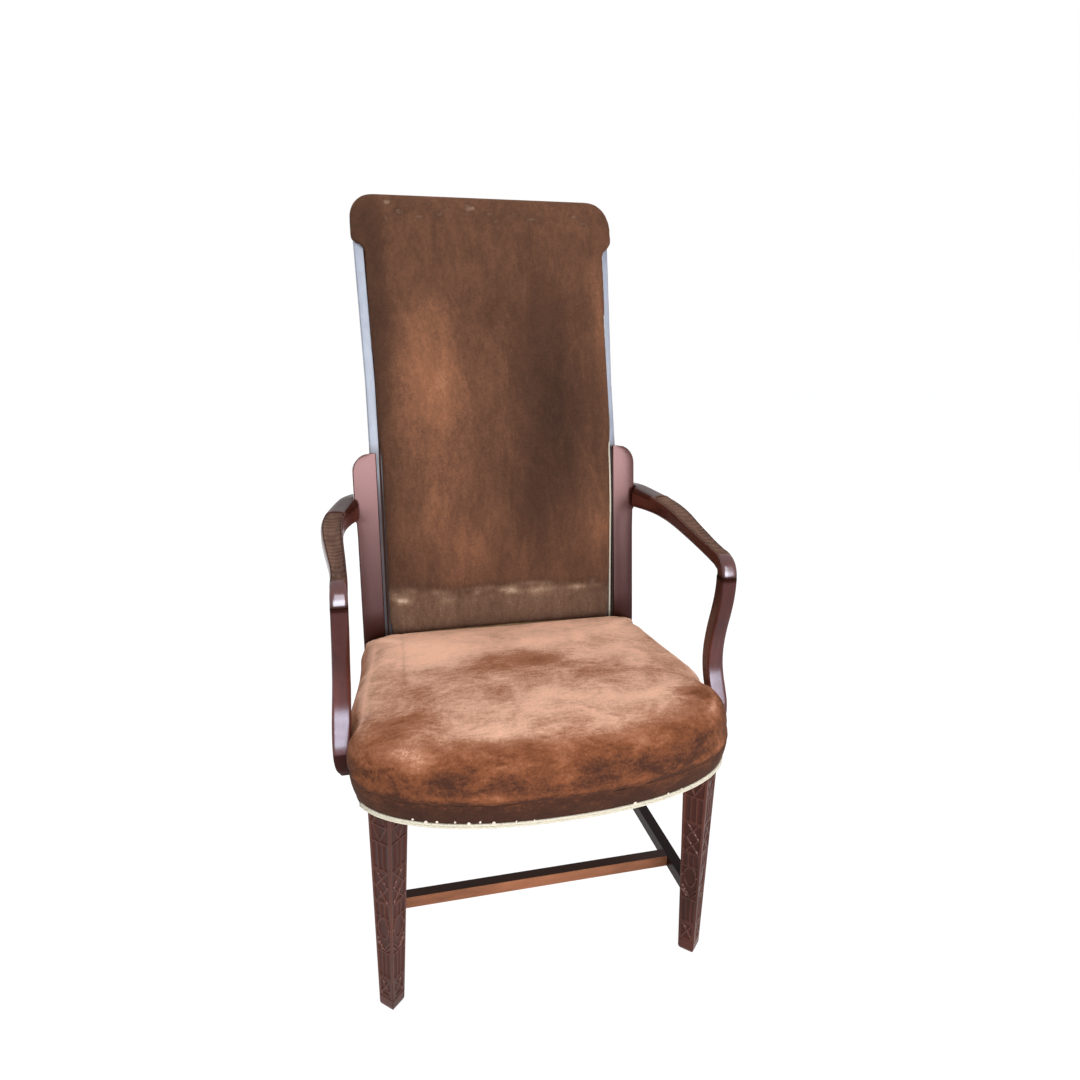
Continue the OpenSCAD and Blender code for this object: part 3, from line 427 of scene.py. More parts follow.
def build_materials():
    """All finishes by short name."""
    hue = bpy.context.scene.chair_colours
    wood, back, seat, rubbed_and_sheen, border, cord = (
        tuple(c) for c in (hue.mahogany, hue.velvet, hue.seat, hue.rubbed_and_sheen, hue.border, hue.cord))
    back_stops = [(0.0, tone(back, 0.3)), (0.28, tone(back, 0.58)), (0.5, back), (0.74, linear("#87593f")),
                  (1.0, linear("#a77b60"))]
    seat_stops = [(0.0, tone(border, 1.1)), (0.24, linear("#7d482c")), (0.5, seat), (0.78, rubbed_and_sheen),
                  (1.0, tone(rubbed_and_sheen, 1.25))]
    border_stops = [(0.1, tone(border, 0.5)), (0.5, border), (0.9, linear("#6f412a"))]
    return {
        # polished mahogany, grain along the length of the front legs
        "mahogany": mahogany("polished_mahogany_leg", 2, tone(wood, 1.55), rough=(0.3, 0.4), gloss=0.2),
        # the same, darker and redder, on the uprights
        "upright": mahogany("polished_mahogany_upright", 2, wood, "#ffd0d3", (0.22, 0.28), (0.8, 1.2), 0.28),
        # the same, grain front to back, on the arms
        "arm": mahogany("polished_mahogany_arm", 1, tone(wood, 1.8), "#e8eeff", (0.17, 0.23), gloss=0.6),
        # the same, lighter, on the arm supports
        "support": mahogany("polished_mahogany_support", 2, tone(wood, 2.2), "#d6e5ff", (0.22, 0.28),
                            (0.7, 1.4), 0.36),
        # faded mahogany, grain across, on the medial stretcher
        "stretcher": mahogany("faded_mahogany_across", 0, tuple(hue.stretcher), rough=(0.4, 0.5), gloss=0.15,
                              top_darkening=0.92),
        # mahogany under old dark wax, on the side stretchers
        "waxed": mahogany("waxed_mahogany_along", 1, tone(wood, 0.4), "#ffe9e4", (0.3, 0.4), gloss=0.06,
                          top_darkening=0.6),
        # mahogany on the back posts, its pale blue-grey colour a painted reflection of the sky in its polish
        "painted_sky_reflection": mahogany("mahogany_painted_sky_reflection", 2, tone(hue.painted_sky_reflection, 0.72), "#e4edf2", (0.2, 0.3), (0.8, 1.15),
                          0.3),
        # worn brown cotton velvet of the back and head
        "back": velvet("cotton_velvet_back", back_stops, (30.0, 30.0, 9.0), (150.0, 150.0, 60.0),
                       (0.5, 0.3, 0.5, 0.3)),
        # the same velvet, faded and rubbed on the seat, its crown's pale tone partly a painted sheen
        "seat": velvet("cotton_velvet_seat", seat_stops, (14.0, 20.0, 26.0), (70.0, 190.0, 190.0),
                       (0.8, 0.35, 0.5, 0.25)),
        # unfaded velvet of the border and the outside of the back, its dark tone on the border partly painted
        # shade under the seat's overhang
        "border": velvet("cotton_velvet_border", border_stops, (22.0, 22.0, 30.0), (90.0, 90.0, 220.0),
                         (0.9, 0.4, 0.6, 0.3)),
        # twisted cream cotton piping
        "cord": plain("cotton_cord_cream", tone(cord, 0.7), cord, 500.0, 0.85, 0.4),
        # beech stained to match the mahogany, on the rear rail, which shows from behind
        "stained": mahogany("stained_beech_across", 0, tone(wood, 1.2), rough=(0.35, 0.45), gloss=0.2),
        # planed raw beech of the hidden rails, blocks and dowels
        "beech": plain("raw_beech", linear("#a98a5e"), linear("#cdb083"), (30.0, 200.0, 200.0), 0.7),
        # thin black dust cloth under the seat
        "black": plain("black_cambric", linear("#1e1c1b"), linear("#33302e"), 700.0, 0.9),
        # turned steel screws
        "steel": plain("turned_steel", linear("#7f7f82"), linear("#a3a3a6"), 400.0, 0.35, metal=1.0),
        # brass nails gone brown
        "brass": plain("tarnished_brass", linear("#5d4526"), linear("#9a7c4a"), 900.0, 0.4, metal=1.0),
        # pale tinned heads of the tacks at the front
        "tack": plain("tinned_tack", linear("#c9b5a4"), linear("#efe2d6"), 900.0, 0.5),
    }


PAINTS = {}

# ---------------------------------------------------------------- legs

# Half diagonals of the leg and its middle's place across, at the floor and under the rail
FOOT_HALF, HEAD_HALF = 18.1, 27.43
FOOT_X, HEAD_X = 236.5, 229.0
ARRIS = 1.0
CARVED_COLS, PLAIN_COLS = 38, 6

# Raised bands of the blind fret from end to end: across the face as a share of its half width, and height
HALF_BANDS = [
    (0, 297, 0.72, 321), (0.72, 321, 0, 345), (-0.72, 321, 0.72, 321),
    (-0.8, 246, 0.8, 246), (-0.62, 246, 0.62, 219), (-0.62, 219, 0.62, 194), (0.62, 219, 0.8, 219),
    (-0.8, 194, 0.8, 194),
    (-0.28, 164, 0.28, 164), (0.28, 164, 0.62, 154), (0.62, 154, 0.62, 140), (0.62, 140, 0.28, 130),
    (0.28, 130, -0.28, 130), (0.62, 147, 0.8, 147), (0, 108, 0.78, 126), (0.3, 108, 0.78, 118),
    (-0.74, 56, 0.74, 56), (-0.74, 25, 0.74, 25), (0.74, 25, 0.74, 56), (-0.74, 56, 0.74, 25),
]
BANDS = HALF_BANDS + [(-w0, z0, -w1, z1) for w0, z0, w1, z1 in HALF_BANDS]
# Heights from and to which the fret and the flutes run
FRETS = [(295, 360), (192, 248), (106, 166), (23, 58)]
FLUTES = [(250, 293), (168, 190), (60, 104)]


def fret_depth(w, z, half):
    """How far in the face is cut at share w and height z: sunk round the bands, fluted between frets."""
    away = np.full(w.shape, 99.0)
    for w0, z0, w1, z1 in BANDS:
        ax, az = (w - w0) * half, z - z0
        bx, bz = (w1 - w0) * half, z1 - z0
        t = np.clip((ax * bx + az * bz) / (bx * bx + bz * bz), 0, 1)
        away = np.minimum(away, np.hypot(ax - t * bx, az - t * bz))
    ground = smooth((away - 1.0) / 0.7)
    field = smooth((0.84 - np.abs(w)) * half / 0.8)
    depth = np.zeros(w.shape)
    for z0, z1 in FRETS:
        depth = np.maximum(depth, ground * field * smooth((z - z0) / 0.9) * smooth((z1 - z) / 0.9))
    across = np.abs((w / 0.84 * 1.5 + 1.5) % 1 - 0.5) * 2
    round_cut = np.sqrt(np.clip(1 - (across / 0.86) ** 2, 0, 1)) * (np.abs(w) < 0.84)
    for z0, z1 in FLUTES:
        ends = np.sqrt(np.clip(1 - np.clip(1 - np.minimum(z - z0, z1 - z) / 2.2, 0, 1) ** 2, 0, 1))
        depth = np.maximum(depth, 1.1 * round_cut * ends * ((z > z0) & (z < z1)))
    return np.maximum(depth, 0.6 * bump(z, 20.5, 0.7) * (np.abs(w) < 1.01))


def leg_grid(depth):
    """Rings up the leg, a square on its arris whose two front faces are cut, and the cut at each point."""
    z = np.concatenate([[0, 0.5, 1], np.arange(1.6, 346, 1.0), [360, 380, RAIL_TOP]])
    share = np.minimum(z, RAIL_Z) / RAIL_Z
    r = FOOT_HALF + (HEAD_HALF - FOOT_HALF) * share
    r = r - 3.4 * np.clip(1 - z / 7, 0, 1) ** 2
    half = r / np.sqrt(2)
    centre = FOOT_X + (HEAD_X - FOOT_X) * share
    columns, cuts = [], []
    for k in range(4):
        n = np.radians(-45 + 90 * k)
        out, along = np.array([np.cos(n), np.sin(n)]), np.array([-np.sin(n), np.cos(n)])
        carved = k in (0, 3)
        w = np.linspace(-1, 1, CARVED_COLS if carved else PLAIN_COLS)
        wz, zz = np.meshgrid(w, z)
        hh = half[:, None]
        cut = fret_depth(wz, zz, hh) * depth if carved else np.zeros(wz.shape)
        flat = wz * (hh - ARRIS)
        face = out * (hh - cut)[..., None] + along * flat[..., None]
        turn = n + np.radians([22, 45, 68])
        corner = ((out + along) * (hh - ARRIS)[..., None]
                  + ARRIS * np.stack([np.cos(turn), np.sin(turn)], -1)[None])
        columns += [face, corner]
        cuts += [cut, np.zeros(corner.shape[:2])]
    ring = np.concatenate(columns, 1)
    ring = ring + np.stack([centre, np.full(len(z), LEG_Y)], -1)[:, None]
    return at_height(ring, z), np.concatenate(cuts, 1)


def leg_pieces():
    """The two carved front legs."""
    sizes = bpy.context.scene.chair_sizes
    grid, cut = leg_grid(sizes.carving / MM)
    crest = (cut < 0.3) * (np.arange(len(cut)) >= 20)[:, None]
    for name, side in SIDES.items():
        leg = closed_grid(f"front_leg_{name}_carved", mirrored(grid, side), PAINTS["mahogany"], 40)
        # The carved cuts darker and less glossy; the crests of the bands slightly matt
        paint_rings(leg, {"shade_cuts_and_joints": 0.4 * smooth(cut / 1.1), "matt": 0.1 * crest})
        stand(leg, "mahogany", f"front_leg_{name}")


# ---------------------------------------------------------------- rear legs and back posts

# Where the lean begins, the front faces of uprights and posts there, the uprights' sides, the rear legs' knee
LEAN_Z = 430.0
UPRIGHT_Y, POST_Y = 109.75, 126.75
UP_IN, UP_OUT = 207.0, 243.5
KNEE_Z = 337.0
SHOULDER_OUT, SHOULDER_Z, SHOULDER_R = 246.5, 711, 32


def lean_run(z):
    """How far the back leans behind the foot of its posts: two slopes joined by a parabola."""
    z = np.asarray(z, float)
    bent = np.where(z < 620, 0, np.where(z < 760, (z - 620) ** 2 / 280, z - 690))
    return 0.113 * (z - LEAN_Z) + 0.212 * bent


def back_line(z):
    """The posts' front face at height z."""
    return POST_Y + lean_run(z)


def post_edge(z):
    """The posts' outer edge, flaring above 850."""
    return 216.5 + 7 * np.maximum(0, np.asarray(z, float) - 850) / 252


def upright_grid():
    """Rounded rectangles up the rear leg: kicked foot, straight knee, leaning upright, round shoulder."""
    turn = np.linspace(0, np.pi / 2, 12)
    z = np.concatenate([[0, 1], np.linspace(2, KNEE_Z, 34),
                        [380, LEAN_Z, 480, 540, 600, 629, 631.7, 660, 690],
                        SHOULDER_Z + SHOULDER_R * np.sin(turn)])
    foot = 1 - np.minimum(z, KNEE_Z) / KNEE_Z
    x0 = UP_IN + 5 * foot
    x1 = UP_OUT - 3.5 * foot + 3 * smooth((z - 627.5) / 4.2)
    x1[-len(turn):] = SHOULDER_OUT - 27 * (1 - np.cos(turn))
    y0 = UPRIGHT_Y + 62 * foot**1.35 + 0.155 * np.maximum(0, z - LEAN_Z)
    y1 = y0 + 40 - 12 * foot**1.35
    ease = np.clip(1 - z / 2, 0, 1)
    ring = rounded_ring(x0 + ease, x1 - ease, y0 + ease, y1 - ease, 1.6)
    fall = 10 * smooth((z - 690) / 53)[:, None] * (ring[..., 1] - y0[:, None]) / 40
    grid = at_height(ring, z[:, None] - fall)
    middle = grid[-1:].mean(1, keepdims=True)
    inner = middle + (grid[-1:] - middle) * np.array([0.8, 0.93, 1.0])
    inner[..., 2] += 0.5
    return np.concatenate([grid, inner])


def post_grid():
    """Rounded rectangles along the bent back post, flaring outwards above the bend."""
    z = np.linspace(RAIL_TOP + 0.2, POST_TOP, 90)
    y0 = back_line(z)
    return at_height(rounded_ring(189.5, post_edge(z), y0, y0 + 26, 2.4), z)


def upright_pieces():
    """The rear legs with their uprights, and the back posts between them."""
    upright, post = upright_grid(), post_grid()
    for name, side in SIDES.items():
        leg = closed_grid(f"rear_leg_{name}_shouldered", mirrored(upright, side), PAINTS["upright"], 35)
        # Painted shade: the uprights grow darker and less glossy downwards from 750 mm
        paint(leg, "shade_cuts_and_joints", 0.64 * smooth((750 - places(leg)[:, 2]) / 200))
        stand(leg, "mahogany", f"rear_leg_{name}")
        # The back posts take the mahogany whose pale colour is a painted sky reflection
        bar = closed_grid(f"back_post_{name}_bent", mirrored(post, side), PAINTS["painted_sky_reflection"], 35)
        z = places(bar)[:, 2]
        # Painted shade: below about 762 mm the posts turn darker, browner and duller
        post_shade, low = smooth((762 - z) / 24), smooth((720 - z) / 100)
        paint(bar, "matt", post_shade * (0.3 + 0.6 * low))
        paint(bar, "shade_cuts_and_joints", post_shade * (0.3 + 0.4 * low))
        stand(bar, "post_mahogany", f"back_post_{name}")


# ---------------------------------------------------------------- arms and supports

# How square the sections are, the arm's root, the knuckle's place along, the support's foot and its height
ARM_POWER, SUPPORT_POWER = 4.4, 6.5
ROOT_X, ROOT_Z = 246.7, 652
KNUCKLE_Y = -172
FOOT_Z, FOOT_RISE = 353, 259
# Middle lines, the arm's from its root and the support's from its knuckle, as shares: across, along, down
# or up, width, height
ARM_ROWS = np.array([
    [-0.30, 1.02, -0.02, 1.00, 1.02], [0.12, 0.985, -0.02, 1.02, 1.00], [0.36, 0.93, 0.01, 1.02, 0.92],
    [0.64, 0.855, 0.05, 0.98, 0.82], [0.88, 0.765, 0.09, 0.94, 0.75], [1.01, 0.66, 0.14, 0.90, 0.70],
    [1.02, 0.55, 0.19, 0.85, 0.64], [0.97, 0.43, 0.26, 0.78, 0.55], [0.90, 0.30, 0.32, 0.70, 0.51],
    [0.84, 0.18, 0.385, 0.62, 0.51], [0.82, 0.095, 0.44, 0.61, 0.53], [0.83, 0.045, 0.50, 0.615, 0.58],
    [0.845, 0.012, 0.66, 0.625, 0.62], [0.853, 0.00, 0.88, 0.63, 0.63], [0.853, 0.00, 1.08, 0.63, 0.63]])
SUPPORT_ROWS = np.array([
    [0.00, 0.00, 1.00, 1.00, 1.00], [0.02, 0.01, 0.95, 1.00, 1.00], [0.05, 0.10, 0.87, 1.01, 1.00],
    [0.10, 0.33, 0.77, 1.02, 1.00], [0.16, 0.62, 0.67, 1.03, 1.00], [0.22, 0.85, 0.57, 1.05, 1.01],
    [0.28, 0.97, 0.48, 1.08, 1.02], [0.36, 0.98, 0.40, 1.10, 1.03], [0.44, 0.84, 0.32, 1.12, 1.04],
    [0.52, 0.56, 0.24, 1.12, 1.05], [0.56, 0.32, 0.17, 1.10, 1.05], [0.54, 0.26, 0.10, 1.06, 1.04],
    [0.44, 0.32, 0.045, 0.96, 0.98], [0.28, 0.40, 0.00, 0.72, 0.80]])


def tube(path, n, cols, ends):
    """Superelliptic rings of power n along a path of places, widths and heights.

    They stand square to it, and turn into the planes square to ends at its two ends.
    """
    run = np.gradient(path[:, :3], axis=0)
    run /= np.linalg.norm(run, axis=1, keepdims=True)
    length = np.concatenate([[0], np.cumsum(np.linalg.norm(np.diff(path[:, :3], axis=0), axis=1))])
    for end, away in ((ends[0], length), (ends[1], length[-1] - length)):
        k = (1 - smooth(away / 26))[:, None]
        run = run * (1 - k) + np.array(end, float) * k
    run /= np.linalg.norm(run, axis=1, keepdims=True)
    steep = smooth((np.abs(run[:, 2:]) - 0.3) / 0.5)
    guide = np.array([0, 0, 1]) * (1 - steep) + np.array([0, -1, 0]) * steep
    side = np.cross(run, guide)
    side *= np.where(side[:, :1] + 1e-9 < 0, -1, 1)
    side /= np.linalg.norm(side, axis=1, keepdims=True)
    up = np.cross(side, run)
    turn = 2 * np.pi * (np.arange(cols) + 0.5) / cols
    a, b = power(np.cos(turn), n)[None, :, None], power(np.sin(turn), n)[None, :, None]
    return (path[:, None, :3] + side[:, None] * a * path[:, None, 3:4] / 2
            + up[:, None] * b * path[:, None, 4:5] / 2), up, length, turn


def arm_grid():
    """The arm's tube from upright to knuckle, its top sunk and carved inside a bead, and its marks."""
    out, along, down, width, height = ARM_ROWS.T
    rows = np.stack([245 + out * 37.5, KNUCKLE_Y + along * 336.2, ROOT_Z - down * 40, width * 38,
                     height * 40], -1)
    path = spline(rows, 520)
    path = path[(path[:, 0] > ROOT_X) & (path[:, 2] > KNUCKLE_Z + 0.3)]
    path[0, 0] = ROOT_X
    grid, up, length, turn = tube(path, ARM_POWER, 128, ((1, 0, 0), (0, 0, -1)))
    end = length[-1]
    s = length[:, None]
    sign = np.sign(up[len(up) // 2, 2])
    lift = sign * power(np.sin(turn), ARM_POWER)[None]
    across = power(np.cos(turn), ARM_POWER)[None] * (lift > 0.25)
    top = smooth((lift - 0.72) / 0.2) * smooth((end - 25 - s) / 4)
    d = 13.6 - np.hypot(np.minimum(0, s - 84), 13.0 * across)
    eye = np.hypot(s - 86, across * path[:, 3:4] / 2)
    inside = top * smooth((d - 2.4) / 1.2)
    wave = np.abs(((s / 14.5 + 0.3 * np.sin(s / 19) + 0.8 * across**2) % 1) - 0.5) * 2
    weave = smooth((wave - 0.2) / 0.6) * smooth((eye - 10) / 2)
    bead = top * np.maximum(bump(d, 1.4, 1.0), bump(eye, 8.6, 1.1) * (s < 92))
    groove = top * (bump(d, 3.2, 0.7) + bump(d, -0.6, 0.7))
    cut = inside * (0.5 + 0.8 * weave) + 0.6 * groove - 0.7 * bead
    grid = grid - up[:, None] * (sign * cut)[..., None]
    # Darker and duller wood: the weave's hollows and the grooves round the field, a dark joint at the
    # knuckle, and painted shade on the top of the root
    joint = bump(s, end, 4) * np.ones_like(top)
    root = (lift > 0.5) * smooth((72 - s) / 6)
    shade_cuts_and_joints = np.clip(0.28 * inside * weave + 0.8 * groove + joint + 0.7 * root, 0, 1)
    return grid, {"matt": inside + 0.8 * bead, "shade_cuts_and_joints": shade_cuts_and_joints}


def support_grid():
    """The support's tube from knuckle to seat rail, and its marks: painted shade on the front of its foot and
    on its upper part, and a dark joint under the knuckle.
    """
    out, along, up, width, height = SUPPORT_ROWS.T
    rows = np.stack([277 + out * 15, KNUCKLE_Y + along * 30, FOOT_Z + up * FOOT_RISE, width * 24,
                     height * 24], -1)
    path = spline(rows, 240)
    path[0, 2] = KNUCKLE_Z - 0.5
    grid = tube(path, SUPPORT_POWER, 64, ((0, 0, -1), (0, 0, -1)))[0]
    z, y = grid[..., 2], grid[..., 1]
    # Painted shade on the front of the foot below the crease at 391.5 mm, and on the support above about 480
    # mm
    front = smooth((path[:, None, 1] - y - 4) / 4)
    foot = front * smooth((391.5 - z) / 1.5)
    shade = 0.45 * smooth((z - 480) / 60)
    return grid, {"shade_cuts_and_joints": np.clip(0.9 * foot + shade + bump(z, KNUCKLE_Z - 1, 4), 0, 1)}


def arm_pieces():
    """The arms and their supports."""
    kinds = [("arm", "carved", "arm", arm_grid(), 40),
             ("arm_support", "swept", "support", support_grid(), 45)]
    for name, side in SIDES.items():
        for node, cut, finish, (grid, marks), sharp in kinds:
            piece = closed_grid(f"{node}_{name}_{cut}", mirrored(grid, side), PAINTS[finish], sharp)
            paint_rings(piece, marks)
            stand(piece, "mahogany", f"{node}_{name}")


# ---------------------------------------------------------------- seat

# Where the seat is widest, its rear and its middle; its bow's depth; how far its cover draws in to the rails
WIDE_Y, SEAT_Y, MIDDLE_Y = -196.5, 109.45, -109.3
BOW, BOW_POWER = 131.5, 2.2
INSET = 9.2
# The cover's rear starts so far above its seam, and meets the sides at this share of its height
REAR_RISE, SIDE_SHARE = 32.6, 0.64
# The inner faces of the uprights, between which the cover's rear corners tuck in
TUCK_X = 206.7
# The cover's section from seam to crown, as shares: inset, size in plan, height, inset of the rear
COVER_ROWS = np.array([
    [0.24, 1.0, 0.0, 0.0], [0.07, 1.0, 0.06, 0.0], [0.0, 1.0, 0.18, 0.0], [0.12, 1.0, 0.36, 0.0],
    [0.5, 1.0, 0.51, 0.1], [1.25, 1.0, 0.645, 0.5], [2.4, 1.0, 0.755, 1.4], [2.4, 0.85, 0.855, 1.4],
    [2.4, 0.64, 0.935, 1.4], [2.4, 0.40, 0.985, 1.4], [2.4, 0.15, 1.0, 1.4]])


def side_line(y, inset):
    """The seat's side at y: a straight taper from the widest place to the uprights, with a slight waist."""
    share = np.clip((y - WIDE_Y) / (SEAT_Y - WIDE_Y), 0, 1)
    return HALF_SEAT - inset - 33 * share - 5 * np.sin(np.pi * share**2)


def half_plan(inset, back, dents=2.5, count=64):
    """Right half of the seat's outline: a superelliptic bow, then the side, dented at the arm support."""
    turn = np.linspace(0.03, np.pi / 2, count)
    bow = np.stack([(HALF_SEAT - inset) * np.sin(turn) ** (2 / BOW_POWER),
                    WIDE_Y - (BOW - inset) * np.cos(turn) ** (2 / BOW_POWER)], -1)
    y = WIDE_Y + (back - WIDE_Y) * np.linspace(0, 1, count)[1:]
    x = side_line(y, inset) - dents * np.exp(-((y + 158.5) / 22) ** 4)
    return np.concatenate([bow, np.stack([x, y], -1)])


def seat_ring(inset, shrink, z, back_inset, rear_z):
    """One closed ring of the cushion, shrunk toward the seat's middle, its rear at a height of its own."""
    back = SEAT_Y - back_inset
    half = half_plan(inset, back - 1.6)
    rear = np.array([[246.0 - inset / 4, back - 0.8], [TUCK_X, back], [TUCK_X, back + 6]])
    zs = np.concatenate([np.full(len(half), z), np.full(3, rear_z)])
    line = np.concatenate([half, rear])
    line = np.stack([line[:, 0] * shrink, MIDDLE_Y + (line[:, 1] - MIDDLE_Y) * shrink, zs], -1)
    return np.concatenate([line, line[::-1] * [-1, 1, 1]])


def seat_grid():
    """Rings from the hidden underside, out over the rails and up over the crown."""
    rise = SEAT_TOP - SEAM_Z
    path = [COVER_ROWS[:, :1] * 9, COVER_ROWS[:, 2:3] * rise, (1 - COVER_ROWS[:, 1:2]) * 230, COVER_ROWS]
    rows = spline(np.concatenate(path, 1), 44)[:, 3:]
    hidden = [(12.2, 0.5, 407), (12.2, 1, 407), (11.6, 1, 392), (11.0, 1, SEAM_Z + 1)]
    rings = [seat_ring(inset, shrink, z, 3, 411) for inset, shrink, z in hidden]
    lift = np.where(rows[:, 2] > SIDE_SHARE, rise * rows[:, 2],
                    REAR_RISE + (rise * SIDE_SHARE - REAR_RISE) * rows[:, 2] / SIDE_SHARE)
    rings += [seat_ring(r[0] * INSET, r[1], SEAM_Z + rise * r[2], r[3] * INSET, SEAM_Z + up)
              for r, up in zip(rows, lift)]
    return np.array(rings)


def modified(obj, kind, **settings):
    """Replaces the object's mesh by the one that a modifier gives."""
    modifier = obj.modifiers.new("shape", kind)
    for key, value in settings.items():
        setattr(modifier, key, value)
    bpy.context.view_layer.update()
    shown = obj.evaluated_get(bpy.context.evaluated_depsgraph_get())
    mesh = bpy.data.meshes.new_from_object(shown)
    obj.modifiers.clear()
    old, obj.data = obj.data, mesh
    mesh.name = old.name
    bpy.data.meshes.remove(old)


# Frames that the cloth solver runs
CLOTH_FRAMES = 20


def swollen(obj, cap, share):
    """Moves the padded mesh as a short pressure run of the cloth solver does.

    No point moves further than cap millimetres, and share gives the part of the move that each keeps.
    """
    rest = places(obj)
    modifier = obj.modifiers.new("pressure", "CLOTH")
    settings = modifier.settings
    settings.quality = 6
    settings.mass = 0.25
    settings.tension_stiffness = settings.compression_stiffness = 12
    settings.shear_stiffness = 8
    settings.bending_stiffness = 2
    settings.use_pressure = True
    settings.uniform_pressure_force = 4.0
    settings.effector_weights.gravity = 0
    modifier.collision_settings.use_collision = False
    modifier.point_cache.frame_start, modifier.point_cache.frame_end = 1, CLOTH_FRAMES
    for number in range(1, CLOTH_FRAMES + 1):
        bpy.context.scene.frame_set(number)
    shown = obj.evaluated_get(bpy.context.evaluated_depsgraph_get())
    moved = np.zeros(len(shown.data.vertices) * 3, np.float32)
    shown.data.vertices.foreach_get("co", moved)
    obj.modifiers.clear()
    bpy.context.scene.frame_set(1)
    step = moved.reshape(-1, 3).astype(float) / MM - rest
    far = np.linalg.norm(step, axis=1, keepdims=True)
    set_places(obj, rest + step * share(rest)[:, None] * np.minimum(1, cap / np.maximum(far, 1e-6)))


def stuffed(obj, rounds, swell, share):
    """Evens and smooths a padded mesh, presses it out, and subdivides it."""
    modified(obj, "REMESH", mode="VOXEL", voxel_size=bpy.context.scene.chair_sizes.voxel,
             use_smooth_shade=True)
    modified(obj, "SMOOTH", factor=0.5, iterations=rounds)
    swollen(obj, swell / MM, share)
    modified(obj, "SUBSURF", levels=1, render_levels=1)


def blobs(a, b, spots):
    """A sum of elliptical bells, each (centre a, centre b, width a, width b, height)."""
    height = np.zeros(len(a))
    for ca, cb, wa, wb, peak in spots:
        height += peak * np.exp(-((a - ca) / wa) ** 2 - ((b - cb) / wb) ** 2)
    return height


# Rubbed and shaded places of the seat: middle across, middle along, half widths, strength
SEAT_WEAR_AND_SHADE = [
    (-150, 20, 70, 70, 0.26), (20, -10, 70, 26, 0.16), (98, 40, 120, 50, 0.14), (150, -60, 60, 50, 0.08),
    (10, -84, 60, 26, -0.24), (-75, -95, 50, 34, -0.18), (-206, -194, 45, 60, -0.16),
    (20, -205, 60, 26, 0.20), (98, -141, 50, 30, -0.12), (136, -212, 60, 30, 0.06), (190, -250, 60, 60, 0.06),
    (-100, -318, 80, 10, 0.12), (-177, -298, 60, 40, -0.05), (0, -150, 220, 80, -0.10),
    (-120, -30, 50, 40, 0.05), (60, 90, 200, 20, 0.06),
]
# How far the stuffing pushes the seat's sides out, front to back
SIDE_Y = [-300, -260, -225, -186, -160, -140, -120, -82, -44, 60, 121]
SIDE_PUSH = [0, -2, 0, 2, 4, 6, 8, 8, 7, 6, 6]


def edge_inset(x, y):
    """About how far points lie inside the seat's outline, in front from the bow and behind from the sides."""
    bow = (np.abs(x) / HALF_SEAT) ** BOW_POWER + (np.maximum(0, WIDE_Y - y) / BOW) ** BOW_POWER
    return np.where(y < WIDE_Y, (1 - bow ** (1 / BOW_POWER)) * 190, side_line(y, 0) - np.abs(x))


def seat_piece():
    """The crowned velvet seat, with the ridge of its side, a crease, a corner fold, a slit, and its tone:
    rubbing of the pile together with painted light and shade.
    """
    seat = closed_grid("seat_velvet_cushion", seat_grid(), PAINTS["seat"])
    stuffed(seat, 2, bpy.context.scene.chair_sizes.seat_swell, lambda p: smooth((p[:, 2] - SEAM_Z - 4) / 25))
    p = places(seat)
    x, y, z = p.T
    upper = smooth((z - SEAM_Z - 4) / 16)
    push = np.interp(y, SIDE_Y, SIDE_PUSH) - 3.2 * bump(y, -245, 25) * (x > 0)
    p[:, 0] += np.sign(x) * upper * smooth((np.abs(x) - 90) / 130) * push
    x = p[:, 0]
    inset = edge_inset(x, y)
    sides = smooth((np.abs(x) - 130) / 70) * smooth((z - 418) / 10) * smooth((90 - y) / 40)
    sides *= smooth((y + np.where(x < 0, 205, 270)) / 30)
    ridge = bump(inset, 19, 4) * sides
    crease = (bump(x, -186 + 0.06 * y, 3.2) * smooth((105 - y) / 25) * smooth((y + 120) / 25)
              * smooth((z - 420) / 6))
    fold = (bump(z, 382 - 0.585 * (y + 205), 3.2) * smooth((-198 - y) / 10) * smooth((y + 282) / 14)
            * (x < 0))
    slit = bump(z, 394, 1.8) * smooth((-188 - y) / 8) * smooth((y + 248) / 10) * (x > 150)
    p[:, 2] += 1.3 * ridge - 0.9 * crease
    inward = np.stack([-np.sign(x), 0.8 * np.ones_like(x)], -1) / 1.28
    p[:, :2] += inward * (1.8 * fold + 2.2 * slit)[:, None]
    set_places(seat, p)
    # The front roll darker, less so at its left end: partly painted shade
    front = smooth((86 - inset) / 64) * smooth((-150 - y) / 70) * smooth((z - 380) / 36)
    front *= 1 - 0.5 * smooth((-120 - x) / 80)
    # Tone rises with height and follows the blobs: rubbed pile together with painted light on the crown and
    # painted shade lower down
    wear_and_painted_light = (-0.06 + 0.32 * smooth((z - 377) / 15) + 0.46 * smooth((z - 394) / 48) + blobs(x, y, SEAT_WEAR_AND_SHADE)
            - 0.5 * front)
    # Painted highlight along the side ridge; painted shade in the crease, the fold, the slit and the strip
    # outside the ridge
    wear_and_painted_light += 0.2 * ridge - 0.1 * crease - 0.1 * sides * smooth((14 - inset) / 8) - 0.25 * fold - 0.3 * slit
    # Painted highlight on the flap above the slit
    wear_and_painted_light += 0.22 * bump(z, 399, 2.5) * smooth((-195 - y) / 8) * smooth((y + 235) / 10) * (x > 150)
    # Painted shade under the roll, below 390 mm
    wear_and_painted_light -= 0.16 * smooth((390 - z) / 12)
    paint(seat, "wear_and_painted_light", np.hypot(np.maximum(wear_and_painted_light, 0), 0.02 + 0.11 * smooth((z - 382) / 12)))
    stand(seat, "velvet", "seat_cover", "seat_stuffing", "seat_hessian", "seat_webbing")


